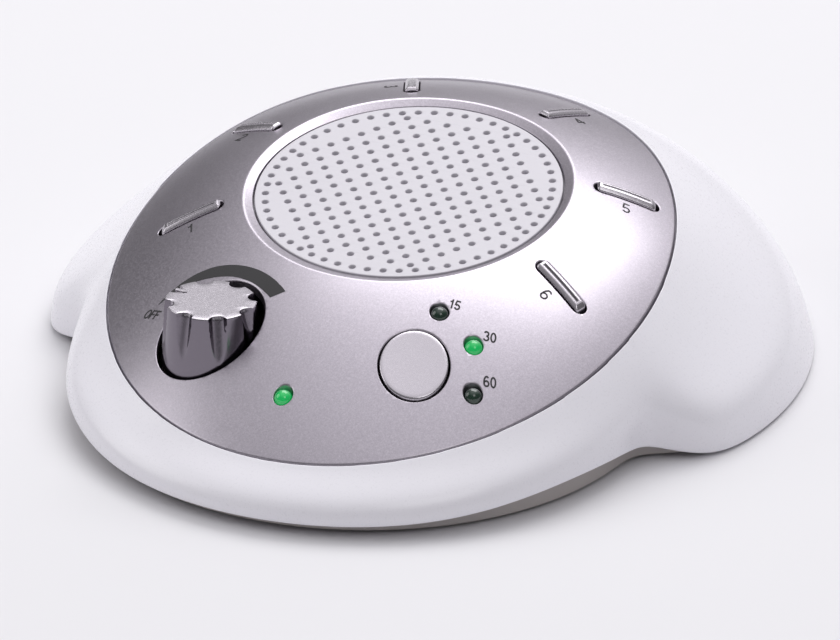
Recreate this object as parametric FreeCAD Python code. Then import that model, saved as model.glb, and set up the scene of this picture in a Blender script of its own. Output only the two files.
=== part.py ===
import FreeCAD, Part
import math
import os

from FreeCAD import Vector

os.makedirs("parts", exist_ok=True)

# Clearances, in millimetres
RUNNING_FIT = 0.05          # radial, shaft in its bushing
MOVING_GAP = 0.4            # between surfaces that move past each other
SEAT_GAP = 0.3              # between curved faces of pieces that rest on each other

# Working lengths of the model itself
TALL = 90.0                 # longer than any wall a cut goes through
OVERRUN = 1.0               # how far a cut runs past the face it opens
BITE = 0.5                  # how far a post, stem or shank runs into what it is fused to
TOLERANCE = 0.01
FILLET_SLACK = 0.05         # keeps the two fillets of a bar's end apart

# Control panel: an ellipse in plan, bulged like a shallow dome that leans forward
PANEL_HALF_WIDTH = 60.0
PANEL_HALF_DEPTH = 68.5
PANEL_WALL = 2.0
DOME_SPAN = 60.0            # length that the dome's coefficients are scaled by
DOME_HEIGHT = 46.4          # at the panel's centre, above the table
DOME_TILT = 12.6
DOME_CURVE_Y = -12.5
DOME_CURVE_X = -13.1
DOME_TWIST = 2.9
DOME_EDGE_X = -4.2
DOME_EDGE_Y = -1.7
DOME_EDGE_XY = -4.1
DOME_GRID = 13              # points each way that the dome's surface passes through
DOME_MARGIN = 3.0           # how far that surface runs past the panel's outline

# Speaker grille: a flat disc, sunk in a chamfered ring of the panel
GRILLE_RADIUS = 33.5
GRILLE_Y = 9.4
GRILLE_Z = DOME_HEIGHT - 4.0
GRILLE_TILT = 8.4           # degrees, front edge lower
GRILLE_PLATE = 1.6
GRILLE_SKIRT = 1.6
GRILLE_DEPTH = 3.2
GRILLE_FLANGE = 4.0
GRILLE_FLANGE_TOP = 2.1
RING_WIDTH = 2.9
RING_HEIGHT = 1.0
RING_START = 0.2            # the ring's slope starts this far below the grille's face
THROAT_DEPTH = 9.0
HOLE_RADIUS = 0.75
HOLE_RING_RADIUS = 31.2
HOLE_RING_COUNT = 56
HOLE_PITCH_X = 4.7
HOLE_PITCH_Y = 2.96
HOLE_FIELD_RADIUS = 29.2

# Outer shell: a round wing outline behind, a smaller round belly in front
WING_RADIUS = 83.8
WING_Y = 20.6
BELLY_RADIUS = 65.3
BELLY_Y = -13.1
FOOT_ANGLE = -8.5           # plan angle at which the belly turns into the wing, degrees
FOOT_BLEND = 2.2
SHELL_WALL = 2.4
RIM_INSET = 1.0             # how far the shell's skin runs in over the panel's gap
RIM_LIFT = 0.3
RIM_LIFT_SIDE = 0.4
LEDGE_WIDTH = 2.2
LEDGE_WALL = 2.2
EDGE_HEIGHT = 3.1           # shell's lower edge above the table, at the front
EDGE_HEIGHT_WING = 0.6
ARCH_RISE = 3.4
ARCH_ANGLE = -30.6
ARCH_SPREAD = 23.3
# Slope at the rim and at the lower edge in degrees, and the reach of each, as a
# share of the skin's width: at the front, at the sides and at the rear
RIM_SLOPE = (45.0, 50.2, 8.0)
FOOT_SLOPE = (100.0, 87.0, 62.0)
RIM_REACH = (0.35, 0.77, 0.2)
FOOT_REACH = (0.4, 0.35, 0.45)
SKIN_POINTS = 11
# Ellipse angles of the skin's sections in degrees: first, last and count of each run,
# closer together where the belly meets the wing
SKIN_RUNS = ((-90.0, -29.5, 12), (-26.0, 6.0, 17), (14.0, 90.0, 14))
BOSS_TOP_STEP = 45          # degrees between the spots that a boss' top is measured at

# Base
BASE_BOTTOM = 1.0
BASE_FLOOR = 2.4
BASE_WALL = 2.0
BASE_BELLY_RADIUS = BELLY_RADIUS - 3.5
BASE_WING_RADIUS = WING_RADIUS - 4.0
BASE_WING_Y = 19.6
BASE_RIM_TOP = 8.2
BASE_RIM_FRONT = 4.6
BASE_RIM_SLOPE = 6.5        # degrees, the wall's top rises backwards to BASE_RIM_TOP
BASE_RIM_BACK = -7.0        # the raised wall ends here, behind the arches

# Feet and case screws
FOOT_RADIUS = 5.5
FOOT_RECESS = 0.6
FOOT_EDGE = 0.4
FEET = ((36.0, -50.0), (63.0, 50.0))
SCREW_RADIUS = 1.5
SCREW_HEAD_RADIUS = 2.8
SCREW_HEAD_HEIGHT = 1.6
SCREW_LENGTH = 12.0
SCREW_SLACK = 0.2           # radial, shank in the base's hole
SCREW_SINK = 0.2            # head below the base's underside
SCREW_END_GAP = 2.0
CROSS_HALF_LENGTH = 1.8
CROSS_HALF_WIDTH = 0.4
CROSS_DEPTH = 0.8
BOSS_RADIUS = 3.4
SHELL_BOSSES = ((15.64, -3.9), (12.19, 56.0))   # inset from the wing's outline, plan angle
PANEL_BOSSES = ((47.0, -25.0),)

# Volume knob and potentiometer
KNOB_X = -24.2
CONTROL_Y = -42.2
KNOB_TOP = DOME_HEIGHT - 12.0
KNOB_TOP_RADIUS = 9.95
KNOB_BASE_RADIUS = 10.9
KNOB_HOLE_RADIUS = 11.7
KNOB_EDGE = 0.8
KNOB_WALL = 1.6
KNOB_CROWN = 2.4            # thickness of its top
KNOB_HUB_RADIUS = 5.0
KNOB_HUB_LIFT = 0.6         # the hub ends this far above the skirt's lower edge
FLUTE_COUNT = 8
FLUTE_TURN = -12.4          # plan angle of the first flute, degrees
FLUTE_RADIUS = 2.0
FLUTE_DEPTH = 1.5
FLUTE_LENGTH = 11.0
FLUTE_LEAN = 2.1            # how far a flute's axis leans out over its length
SHAFT_RADIUS = 3.0
SHAFT_TOP = KNOB_TOP - 4.4
POT_RADIUS = 8.5
POT_HEIGHT = 6.0
POT_NECK_RADIUS = 4.5
POT_NECK = 1.2
POT_FLOOR = 2.0
KNOB_LIFT = 0.8             # gap under the knob, above the potentiometer's neck

# Timer button
TIMER_X = 23.5
TIMER_RADIUS = 7.4
TIMER_HOLE_RADIUS = 7.85
TIMER_PROUD = 0.3
TIMER_CAP_BOTTOM = DOME_HEIGHT - 27.4
TIMER_FLANGE = 1.5
TIMER_WALL = 1.6
TIMER_HOLLOW = 2.5
TIMER_CORE = 1.0            # wall about the stem, inside the cap's hollow
BUTTON_FLANGE_WALL = 1.0
BUTTON_TRAVEL = 0.8
STEM_RADIUS = 1.6

# Sound buttons: six bars on a circle about the grille
SOUND_RADIUS = 47.2
SOUND_ANGLES = (202.5, 157.5, 112.5, 67.5, 22.5, -22.5)
SLOT_LENGTH = 14.2
SLOT_WIDTH = 3.6
BAR_PROUD = 0.9
BAR_SKIRT = 2.2
BAR_FLANGE = 0.7
BAR_END_GAP = 0.8
BAR_CORNER = 0.7

# Lamps beside the timer button, and the power lamp in front
LED_RADIUS = 1.9
LED_HOLE_RADIUS = 2.1
LED_PROUD = 0.7
LED_LENGTH = 6.5
LED_SHOULDER = 1.52         # the straight side of the lens ends this far below its top
LED_FLANGE = 0.7
LED_FLANGE_WIDTH = 0.5
LEG_RADIUS = 0.25
LEG_SPACING = 2.54
LEDS = {
    "led_15": (23.7, -28.8),
    "led_30": (33.3, -32.6),
    "led_60": (37.2, -42.0),
    "led_power": (-1.1, -56.1),
}

# Circuit boards
BOARD_WALL = 1.6
CONTROL_BOARD_Z = 8.0
CONTROL_BOARD_WIDTH = 92.0
CONTROL_BOARD_FRONT = -59.0
CONTROL_BOARD_BACK = -20.0
CONTROL_BOARD_CORNER = 24.0
BOARD_CLEARANCE = 1.0       # about a boss that passes through the board
# Flat packages: place of the middle, length and width; cans: radius, height, place
CHIPS = ((-2.0, -38.0, 18.0, 10.0), (4.0, -27.5, 10.0, 6.0), (-8.0, -25.0, 8.0, 5.0))
CHIP_HEIGHT = 2.2
CANS = ((4.0, 10.0, 16.0, -28.0), (3.2, 8.0, -28.0, -26.0), (2.5, 6.0, -16.0, -27.0))
CONTROL_POSTS = ((40.0, -24.0), (14.0, -54.0))
KNOB_BOTTOM = CONTROL_BOARD_Z + BOARD_WALL + POT_HEIGHT + POT_NECK + KNOB_LIFT
POST_RADIUS = 3.0
BUTTON_BOARD_WIDTH = 13.5
BUTTON_BOARD_INNER = SOUND_RADIUS - 7.7
BUTTON_BOARD_ANGLES = (0.0, 90.0, 180.0)    # middle of each board, between its two bars
BUTTON_BOARD_SPAN = 74.0
BUTTON_SCREW_ANGLE = 31.5   # from a board's middle to each of its screws
BUTTON_BOSS_RADIUS = SOUND_RADIUS - 3.2
STEM_SHORTEST = 0.3         # of a bar's stem, below its flange
BOARD_SCREW_LENGTH = 5.0
BOARD_SCREW_RADIUS = 1.0
BOARD_SCREW_END_GAP = 1.0
BOARD_SCREW_HEAD = 1.2
BOARD_SCREW_HEAD_RADIUS = 2.0
BOARD_HOLE_RADIUS = 1.2
SWITCH_SIZE = 6.0
SWITCH_BODY = 2.5
PLUNGER_RADIUS = 1.75
PLUNGER_HEIGHT = 0.8

# Speaker, in the grille's tilted frame, downwards from the grille's face
SPEAKER_TOP = 3.6
SPEAKER_RADIUS = 33.0
SPEAKER_WALL = 1.2
SPEAKER_CAN_RADIUS = 29.5
SPEAKER_CAN_STEP = 4.0
SPEAKER_BACK_RADIUS = 17.0
SPEAKER_BACK_CORNER = 1.0
SPEAKER_BACK = 18.0
CONE_RADIUS = 27.0
CONE_NECK_RADIUS = 8.0
CONE_NECK = 13.0
CONE_WALL = 0.6
CONE_LIP = 1.0
COIL_LENGTH = 3.0
DUST_CAP_SEAT = 0.3
DUST_CAP_RISE = 3.0
DUST_CAP_STEPS = 8
YOKE_RADIUS = CONE_NECK_RADIUS + 2.0        # opening behind the cone's neck
MAGNET_RADIUS = 19.0
MAGNET_HEIGHT = 7.0
MAGNET_EDGE = 1.0
MAGNET_SLOT = 3.0
POLE_RADIUS = 5.0
POLE_RISE = 2.0
SCRIM_RADIUS = 31.6
SCRIM_WALL = 0.3
SPEAKER_TAB_ANGLES = (-50.0, 50.0, 130.0, 230.0)
SPEAKER_TAB_ROOT = 1.5
SPEAKER_TAB_END = 1.8
SPEAKER_TAB_HALF_WIDTH = 3.0
CLAMP_SCREW_RADIUS = 35.6   # of the circle that the clamping screws stand on
CLAMP_SHANK_RADIUS = 1.1
CLAMP_HEAD_RADIUS = 2.0
CLAMP_HEAD = 1.2
CLAMP_REACH = 2.2
CLAMP_ROOF = 0.4            # left over the end of the screw's hole

# Battery bay: two rows of two cells, end to end across the machine
CELL_RADIUS = 7.1
CELL_LENGTH = 49.0
CELL_NUB_RADIUS = 2.7
CELL_NUB = 1.0
CONTACT_ROOM = 3.5          # for the contacts and springs at each end of the bay
BAY_HALF_WIDTH = CELL_LENGTH + CELL_NUB + CONTACT_ROOM
BAY_FRONT = 36.5
BAY_WALL = 1.6
BAY_ROOF = 1.0
CELL_GAP = 0.3
DOOR_WALL = 1.8
CONTACT_WALL = 0.5
CONTACT_INSET = 2.0
CONTACT_TOP_GAP = 1.5
CONTACT_SPLIT = 1.0         # each side of the middle, between the two right-hand plates
SPRING_RADII = (3.0, 2.2)
DOOR_LATCH = 2.6
DOOR_LATCH_WALL = 1.2
DOOR_LATCH_HALF = 5.0
DOOR_BITE = 0.2
GRIP_HALF = 8.0
GRIP_EDGES = (7.0, 4.0)     # from the bay's rear wall
GRIP_DEPTH = 0.8
RIB_WALL = 1.0
RIB_RISE = 0.8
RIB_END_GAP = 4.0

# Direct-current inlet at the rear
JACK_WIDTH = 9.0
JACK_HEIGHT = 11.0
JACK_LENGTH = 14.0
JACK_DEPTH = 10.0
JACK_BORE = 3.0
JACK_PIN_RADIUS = 1.0
JACK_PIN_SETBACK = 0.5
JACK_FREE = 4.0             # length at the mouth that stands clear of the cradle
CRADLE_WALL = 1.5
CRADLE_FRONT = 2.0
CRADLE_GRIP = 2.0           # height of the inlet's side that the cradle holds
JACK_REAR = WING_Y + WING_RADIUS - 12.4
JACK_AXIS_Z = 9.0
INLET_RADIUS = 5.4

# Wires, each a pair, laid from their board up and across to where they end
WIRE_RADIUS = 0.8
WIRE_SETBACK = 2.0          # from the control board's rear edge
SPEAKER_WIRE_X = 6.0
SPEAKER_WIRE_SPREAD = 1.4
SPEAKER_WIRE_RISE = 17.0
SPEAKER_WIRE_END = (6.8, 16.4)      # behind the board's edge, below the grille
SPEAKER_WIRE_BEND = 3.0
BATTERY_WIRE_X = 40.0
BATTERY_WIRE_START = 0.75   # share of that distance where the pair leaves the board
BATTERY_WIRE_KNEES = ((0.0, 12.0), (24.0, 9.0))
BATTERY_WIRE_RISE = 14.0
BATTERY_WIRE_BEND = 2.8


def dome(x, y):
    """Height of the panel's outer face above the table."""
    u, v = x / DOME_SPAN, y / DOME_SPAN
    return (DOME_HEIGHT + DOME_TILT * v + DOME_CURVE_Y * v * v + DOME_CURVE_X * u * u
            + DOME_TWIST * u * u * v + DOME_EDGE_X * u ** 4 + DOME_EDGE_Y * v ** 4
            + DOME_EDGE_XY * u * u * v * v)


def dome_body(lift, rise):
    """Slab whose lower or upper face is the dome raised by lift, rise thick."""
    half_x, half_y = PANEL_HALF_WIDTH + DOME_MARGIN, PANEL_HALF_DEPTH + DOME_MARGIN
    steps = [2.0 * i / (DOME_GRID - 1) - 1.0 for i in range(DOME_GRID)]
    rows = [[Vector(half_x * a, half_y * b, dome(half_x * a, half_y * b) + lift)
             for b in steps] for a in steps]
    surface = Part.BSplineSurface()
    surface.interpolate(rows)
    return surface.toShape().extrude(Vector(0, 0, rise))


def cylinder(radius, x, y, low, high):
    return Part.makeCylinder(radius, high - low, Vector(x, y, low))


def box(x0, x1, y0, y1, z0, z1):
    return Part.makeBox(x1 - x0, y1 - y0, z1 - z0, Vector(x0, y0, z0))


def ellipse_prism(half_x, half_y, low, high):
    major, minor = max(half_x, half_y), min(half_x, half_y)
    curve = Part.Ellipse(Vector(0, 0, low), major, minor)
    if half_y > half_x:
        curve.rotate(FreeCAD.Placement(Vector(), Vector(0, 0, 1), 90))
    return Part.Face(Part.Wire(curve.toShape())).extrude(Vector(0, 0, high - low))


def on_circle(radius, middle_y, degrees):
    turn = math.radians(degrees)
    return radius * math.cos(turn), middle_y + radius * math.sin(turn)


def shell_boss_spots():
    return [on_circle(WING_RADIUS - inset, WING_Y, angle) for inset, angle in SHELL_BOSSES]


def mirrored(spots):
    """Each spot and its twin on the other side of the middle."""
    return [(side * x, y) for x, y in spots for side in (-1, 1)]


def stadium(length, width, low, high, corner):
    """Upright bar with rounded vertical edges, its length along X."""
    bar = box(-length / 2, length / 2, -width / 2, width / 2, low, high)
    upright = [e for e in bar.Edges if abs(e.tangentAt(e.FirstParameter).z) > 0.9]
    return bar.makeFillet(min(corner, width / 2 - FILLET_SLACK), upright)


def revolved(points):
    """Solid turned about Z from radius and height pairs."""
    wire = Part.makePolygon([Vector(r, 0, z) for r, z in points + points[:1]])
    return Part.Face(wire).revolve(Vector(), Vector(0, 0, 1), 360)


def in_grille_frame(shape):
    """Moves a piece from the grille's own frame to its tilted seat."""
    shape.Placement = FreeCAD.Placement(
        Vector(0, GRILLE_Y, GRILLE_Z), FreeCAD.Rotation(Vector(1, 0, 0), GRILLE_TILT)
    ).multiply(shape.Placement)
    return shape


def joined(shapes):
    """One solid from pieces that overlap."""
    return shapes[0].multiFuse(shapes[1:]).removeSplitter()


# Outlines of the shell and the base

def ray_to_circle(dx, dy, centre_y, radius):
    """Distance from the panel's centre to a circle, along a unit direction."""
    along = dy * centre_y
    return along + math.sqrt(along ** 2 - centre_y ** 2 + radius ** 2)


def wing_share(angle):
    """0 on the belly, 1 on the wings, for a plan angle in degrees."""
    return 1.0 / (1.0 + math.exp(-(angle - FOOT_ANGLE) / FOOT_BLEND))


def outline_point(angle, belly_radius, wing_radius, wing_y=WING_Y):
    dx, dy = math.cos(math.radians(angle)), math.sin(math.radians(angle))
    share = wing_share(angle)
    reach = (ray_to_circle(dx, dy, BELLY_Y, belly_radius) * (1 - share)
             + ray_to_circle(dx, dy, wing_y, wing_radius) * share)
    return reach * dx, reach * dy


def edge_height(angle):
    """Height of the shell's lower edge, low at the wings and raised at the arches."""
    arch = ARCH_RISE * math.exp(-((angle - ARCH_ANGLE) / ARCH_SPREAD) ** 2)
    share = wing_share(angle)
    return (EDGE_HEIGHT + arch) * (1 - share) + EDGE_HEIGHT_WING * share


def blend(values, turn):
    """Value between the front, side and rear ones for an ellipse angle in radians."""
    front, side, rear = values
    end = rear if turn > 0 else front
    return side + (end - side) * math.sin(turn) ** 2


def skin_line(turn, inset, drop, wall):
    """Points down the shell's skin from the rim to the lower edge, right half."""
    half_x, half_y = PANEL_HALF_WIDTH - inset, PANEL_HALF_DEPTH - inset
    x, y = half_x * math.cos(turn), half_y * math.sin(turn)
    lift = RIM_LIFT + RIM_LIFT_SIDE * math.cos(turn) ** 2
    rim = Vector(x, y, dome(x, y) + lift - drop)
    angle = math.degrees(math.atan2(y, x))
    ex, ey = outline_point(angle, BELLY_RADIUS - wall, WING_RADIUS - wall)
    edge = Vector(ex, ey, edge_height(angle))
    out = Vector(ex - x, ey - y, 0).normalize()
    reach = rim.distanceToPoint(edge)
    a, b = math.radians(blend(RIM_SLOPE, turn)), math.radians(blend(FOOT_SLOPE, turn))
    up = Vector(0, 0, 1)
    near = rim + (out * math.cos(a) - up * math.sin(a)) * (reach * blend(RIM_REACH, turn))
    far = edge + (up * math.sin(b) - out * math.cos(b)) * (reach * blend(FOOT_REACH, turn))
    points = []
    for i in range(SKIN_POINTS):
        s = i / (SKIN_POINTS - 1)
        r = 1 - s
        points.append(rim * r ** 3 + near * (3 * r * r * s) + far * (3 * r * s * s)
                      + edge * s ** 3)
    return points


def skin_turns():
    """Ellipse angles from front to rear, closer together where the belly meets the wing."""
    return [math.radians(first + (last - first) * i / (count - 1))
            for first, last, count in SKIN_RUNS for i in range(count)]


def skin_faces(inset, drop, wall):
    """The right and the left face of one skin."""
    faces = []
    for side in (1, -1):
        rows = [[Vector(side * p.x if p.x > TOLERANCE else 0.0, p.y, p.z)
                 for p in skin_line(turn, inset, drop, wall)] for turn in skin_turns()]
        surface = Part.BSplineSurface()
        surface.interpolate(rows)
        faces.append(surface.toShape())
    return faces


def end_edge(face, last):
    """A skin's edge along the rim, or along its lower end."""
    surface = face.Surface
    u0, u1, v0, v1 = surface.bounds()
    return surface.vIso(v1 if last else v0).toShape(u0, u1)


def outer_shell():
    outer = skin_faces(RIM_INSET - MOVING_GAP, 0.0, 0.0)
    inner = skin_faces(LEDGE_WIDTH, PANEL_WALL + LEDGE_WALL, SHELL_WALL)
    faces = outer + inner
    for out_face, in_face in zip(outer, inner):
        for last in (False, True):
            faces.append(Part.makeRuledSurface(end_edge(out_face, last), end_edge(in_face, last)))
    sewn = Part.Compound(faces)
    sewn.sewShape(TOLERANCE)
    skin = Part.Solid(sewn.Shells[0])
    if skin.Volume < 0:
        skin.reverse()
    pocket = dome_body(-PANEL_WALL - SEAT_GAP, TALL).common(
        ellipse_prism(PANEL_HALF_WIDTH + MOVING_GAP, PANEL_HALF_DEPTH + MOVING_GAP, 0, TALL))
    shell = skin.cut(pocket)
    floor_top = BASE_BOTTOM + BASE_FLOOR
    for x, y in mirrored(shell_boss_spots()):
        rim = [on_circle(BOSS_RADIUS, y, a) for a in range(0, 360, BOSS_TOP_STEP)]
        top = min(shell_height(x + dx, py) for dx, py in rim) - SHELL_WALL / 2
        post = cylinder(BOSS_RADIUS, x, y, floor_top + SEAT_GAP, top)
        bore = cylinder(SCREW_RADIUS, x, y, floor_top, floor_top + SCREW_LENGTH)
        shell = shell.fuse(post).cut(bore)
    inlet = Part.makeCylinder(INLET_RADIUS, TALL, Vector(0, JACK_REAR - JACK_FREE, JACK_AXIS_Z),
                              Vector(0, 1, 0))
    return shell.cut(inlet)


def shell_height(x, y):
    """Height of the shell's outer face over a spot outside the panel."""
    best = None
    for step in range(-180, 181):
        line = skin_line(math.radians(step / 2), RIM_INSET - MOVING_GAP, 0.0, 0.0)
        for p in line:
            gap = (p.x - abs(x)) ** 2 + (p.y - y) ** 2
            if best is None or gap < best[0]:
                best = (gap, p.z)
    return best[1]


def panel_bosses():
    """Posts under the panel: case screws in front, button board around the speaker."""
    posts = []
    for x, y in mirrored(PANEL_BOSSES):
        low = BASE_BOTTOM + BASE_FLOOR + SEAT_GAP
        post = cylinder(BOSS_RADIUS, x, y, low, DOME_HEIGHT)
        posts.append(post.cut(cylinder(SCREW_RADIUS, x, y, low - OVERRUN, low + SCREW_LENGTH)))
    for x, y, board_z in button_board_spots():
        low = board_z + BOARD_WALL
        post = cylinder(POST_RADIUS, x, y, low, DOME_HEIGHT + PANEL_WALL)
        posts.append(post.cut(cylinder(BOARD_SCREW_RADIUS, x, y, low - OVERRUN,
                                       low + BOARD_SCREW_LENGTH)))
    under = dome_body(-PANEL_WALL / 2, -2 * DOME_HEIGHT)
    return [post.common(under) for post in posts]


def bar_foot(angle):
    """Height of the underside of a sound button's flange."""
    x, y = on_circle(SOUND_RADIUS, GRILLE_Y, angle)
    half = SLOT_LENGTH / 2
    under = min(dome(x + dx, y + dy) for dx in (-half, 0, half) for dy in (-half, 0, half))
    return under - PANEL_WALL - BAR_SKIRT


def button_board_z(middle):
    """Height of the board under two sound buttons, set by the lower one."""
    feet = [bar_foot(a) for a in SOUND_ANGLES
            if math.cos(math.radians(a - middle)) > math.cos(math.radians(BUTTON_BOARD_SPAN / 2))]
    stack = (BOARD_WALL + SWITCH_BODY + PLUNGER_HEIGHT + BUTTON_TRAVEL + SEAT_GAP
             + STEM_SHORTEST)
    return min(feet) - stack


def board_z_at(angle):
    """Height of the board that a sound button at this angle belongs to."""
    return button_board_z(max(BUTTON_BOARD_ANGLES,
                              key=lambda middle: math.cos(math.radians(angle - middle))))


def button_board_spots():
    """Place of each screw of the button boards, with the board's height."""
    return [on_circle(BUTTON_BOSS_RADIUS, GRILLE_Y, middle + side * BUTTON_SCREW_ANGLE)
            + (button_board_z(middle),)
            for middle in BUTTON_BOARD_ANGLES for side in (-1, 1)]


def sound_place(angle):
    turn = math.radians(angle)
    spot = Vector(SOUND_RADIUS * math.cos(turn), GRILLE_Y + SOUND_RADIUS * math.sin(turn), 0)
    return FreeCAD.Placement(spot, FreeCAD.Rotation(Vector(0, 0, 1), angle))


def placed_bar(angle, length, width, low, high, corner):
    bar = stadium(length, width, low, high, corner)
    bar.Placement = sound_place(angle)
    return bar


def faceplate():
    plate = dome_body(-PANEL_WALL, PANEL_WALL).common(
        ellipse_prism(PANEL_HALF_WIDTH, PANEL_HALF_DEPTH, 0, TALL))
    throat = GRILLE_RADIUS + MOVING_GAP
    brim = GRILLE_RADIUS + RING_WIDTH + MOVING_GAP
    plug = revolved([(0, -THROAT_DEPTH), (throat, -THROAT_DEPTH), (throat, -RING_START),
                     (brim, RING_HEIGHT), (brim, TALL), (0, TALL)])
    cuts = [in_grille_frame(plug), cylinder(KNOB_HOLE_RADIUS, KNOB_X, CONTROL_Y, 0, TALL),
            cylinder(TIMER_HOLE_RADIUS, TIMER_X, CONTROL_Y, 0, TALL)]
    cuts += [cylinder(LED_HOLE_RADIUS, x, y, 0, TALL) for x, y in LEDS.values()]
    cuts += [placed_bar(a, SLOT_LENGTH, SLOT_WIDTH, 0, TALL, SLOT_WIDTH / 2)
             for a in SOUND_ANGLES]
    plate = plate.cut(cuts)
    return plate.multiFuse(panel_bosses())


def grille_holes():
    """Centres of the grille's holes: one ring, and staggered rows inside it."""
    spots = []
    for i in range(HOLE_RING_COUNT):
        a = 2 * math.pi * i / HOLE_RING_COUNT
        spots.append((HOLE_RING_RADIUS * math.cos(a), HOLE_RING_RADIUS * math.sin(a)))
    rows = int(HOLE_FIELD_RADIUS / HOLE_PITCH_Y)
    columns = int(HOLE_FIELD_RADIUS / HOLE_PITCH_X) + 1
    for row in range(-rows, rows + 1):
        shift = HOLE_PITCH_X / 2 if row % 2 else 0.0
        for column in range(-columns, columns + 1):
            x, y = column * HOLE_PITCH_X + shift, row * HOLE_PITCH_Y
            if math.hypot(x, y) <= HOLE_FIELD_RADIUS:
                spots.append((x, y))
    return spots


def speaker_grille():
    wires = [Part.Wire(Part.makeCircle(GRILLE_RADIUS, Vector(0, 0, -GRILLE_PLATE)))]
    wires += [Part.Wire(Part.makeCircle(HOLE_RADIUS, Vector(x, y, -GRILLE_PLATE)))
              for x, y in grille_holes()]
    plate = Part.Face(wires, "Part::FaceMakerBullseye").extrude(Vector(0, 0, GRILLE_PLATE))
    inner = GRILLE_RADIUS - GRILLE_SKIRT
    outer = GRILLE_RADIUS + GRILLE_FLANGE
    screw_holes = []
    for angle in SPEAKER_TAB_ANGLES:
        hole = cylinder(CLAMP_SHANK_RADIUS, CLAMP_SCREW_RADIUS, 0, -GRILLE_DEPTH - OVERRUN,
                        -GRILLE_FLANGE_TOP - CLAMP_ROOF)
        hole.rotate(Vector(), Vector(0, 0, 1), angle)
        screw_holes.append(hole)
    skirt = revolved([(inner, -GRILLE_PLATE), (inner, -GRILLE_DEPTH), (outer, -GRILLE_DEPTH),
                      (outer, -GRILLE_FLANGE_TOP), (GRILLE_RADIUS, -GRILLE_FLANGE_TOP),
                      (GRILLE_RADIUS, -GRILLE_PLATE)])
    return in_grille_frame(plate.fuse(skirt.cut(screw_holes)))


def grille_scrim():
    top = -GRILLE_PLATE
    return in_grille_frame(revolved([(0, top), (SCRIM_RADIUS, top),
                                     (SCRIM_RADIUS, top - SCRIM_WALL), (0, top - SCRIM_WALL)]))


def speaker_basket():
    top, wall = -SPEAKER_TOP, SPEAKER_WALL
    back = -SPEAKER_BACK
    step = top - SPEAKER_CAN_STEP
    can = revolved([
        (CONE_RADIUS, top), (SPEAKER_RADIUS, top), (SPEAKER_RADIUS, top - wall),
        (SPEAKER_CAN_RADIUS, top - wall), (SPEAKER_CAN_RADIUS, step),
        (SPEAKER_BACK_RADIUS, back), (YOKE_RADIUS, back), (YOKE_RADIUS, back + wall),
        (SPEAKER_BACK_RADIUS - SPEAKER_BACK_CORNER, back + wall),
        (SPEAKER_CAN_RADIUS - wall, step), (SPEAKER_CAN_RADIUS - wall, top - wall),
        (CONE_RADIUS, top - wall)])
    tabs = []
    for angle in SPEAKER_TAB_ANGLES:
        tab = box(SPEAKER_RADIUS - SPEAKER_TAB_ROOT, CLAMP_SCREW_RADIUS + SPEAKER_TAB_END,
                  -SPEAKER_TAB_HALF_WIDTH, SPEAKER_TAB_HALF_WIDTH, top - wall, top)
        tab = tab.cut(cylinder(CLAMP_SHANK_RADIUS, CLAMP_SCREW_RADIUS, 0,
                               top - wall - OVERRUN, top + OVERRUN))
        tab.rotate(Vector(), Vector(0, 0, 1), angle)
        tabs.append(tab)
    return in_grille_frame(can.multiFuse(tabs))


def speaker_cone():
    top = -SPEAKER_TOP - SPEAKER_WALL
    neck = -CONE_NECK
    return in_grille_frame(revolved([
        (CONE_RADIUS + CONE_LIP, top), (CONE_NECK_RADIUS, neck),
        (CONE_NECK_RADIUS, neck - COIL_LENGTH), (CONE_NECK_RADIUS - CONE_WALL, neck - COIL_LENGTH),
        (CONE_NECK_RADIUS - CONE_WALL, neck + DUST_CAP_SEAT), (CONE_RADIUS - CONE_WALL, top)]))


def dust_cap():
    radius, seat = CONE_NECK_RADIUS - CONE_WALL, DUST_CAP_SEAT - CONE_NECK
    points = []
    for i in range(DUST_CAP_STEPS):
        a = math.pi / 2 * i / DUST_CAP_STEPS
        points.append((radius * math.cos(a), seat + DUST_CAP_RISE * math.sin(a)))
    return in_grille_frame(revolved([(0, seat)] + points + [(0, seat + DUST_CAP_RISE)]))


def speaker_magnet():
    top = -SPEAKER_BACK
    bottom = top - MAGNET_HEIGHT
    edge = MAGNET_EDGE
    return in_grille_frame(revolved([
        (0, bottom), (MAGNET_RADIUS - edge, bottom), (MAGNET_RADIUS, bottom + edge),
        (MAGNET_RADIUS, top - edge), (MAGNET_RADIUS - edge, top), (YOKE_RADIUS, top),
        (YOKE_RADIUS, top - MAGNET_SLOT), (POLE_RADIUS, top - MAGNET_SLOT),
        (POLE_RADIUS, top + POLE_RISE), (0, top + POLE_RISE)]))


def speaker_screws():
    screws = []
    top = -SPEAKER_TOP - SPEAKER_WALL
    for angle in SPEAKER_TAB_ANGLES:
        screw = joined([cylinder(CLAMP_HEAD_RADIUS, CLAMP_SCREW_RADIUS, 0, top - CLAMP_HEAD, top),
                        cylinder(CLAMP_SHANK_RADIUS, CLAMP_SCREW_RADIUS, 0, top - BITE,
                                 top + CLAMP_REACH)])
        screw.rotate(Vector(), Vector(0, 0, 1), angle)
        screws.append(in_grille_frame(screw))
    return Part.Compound(screws)


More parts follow.
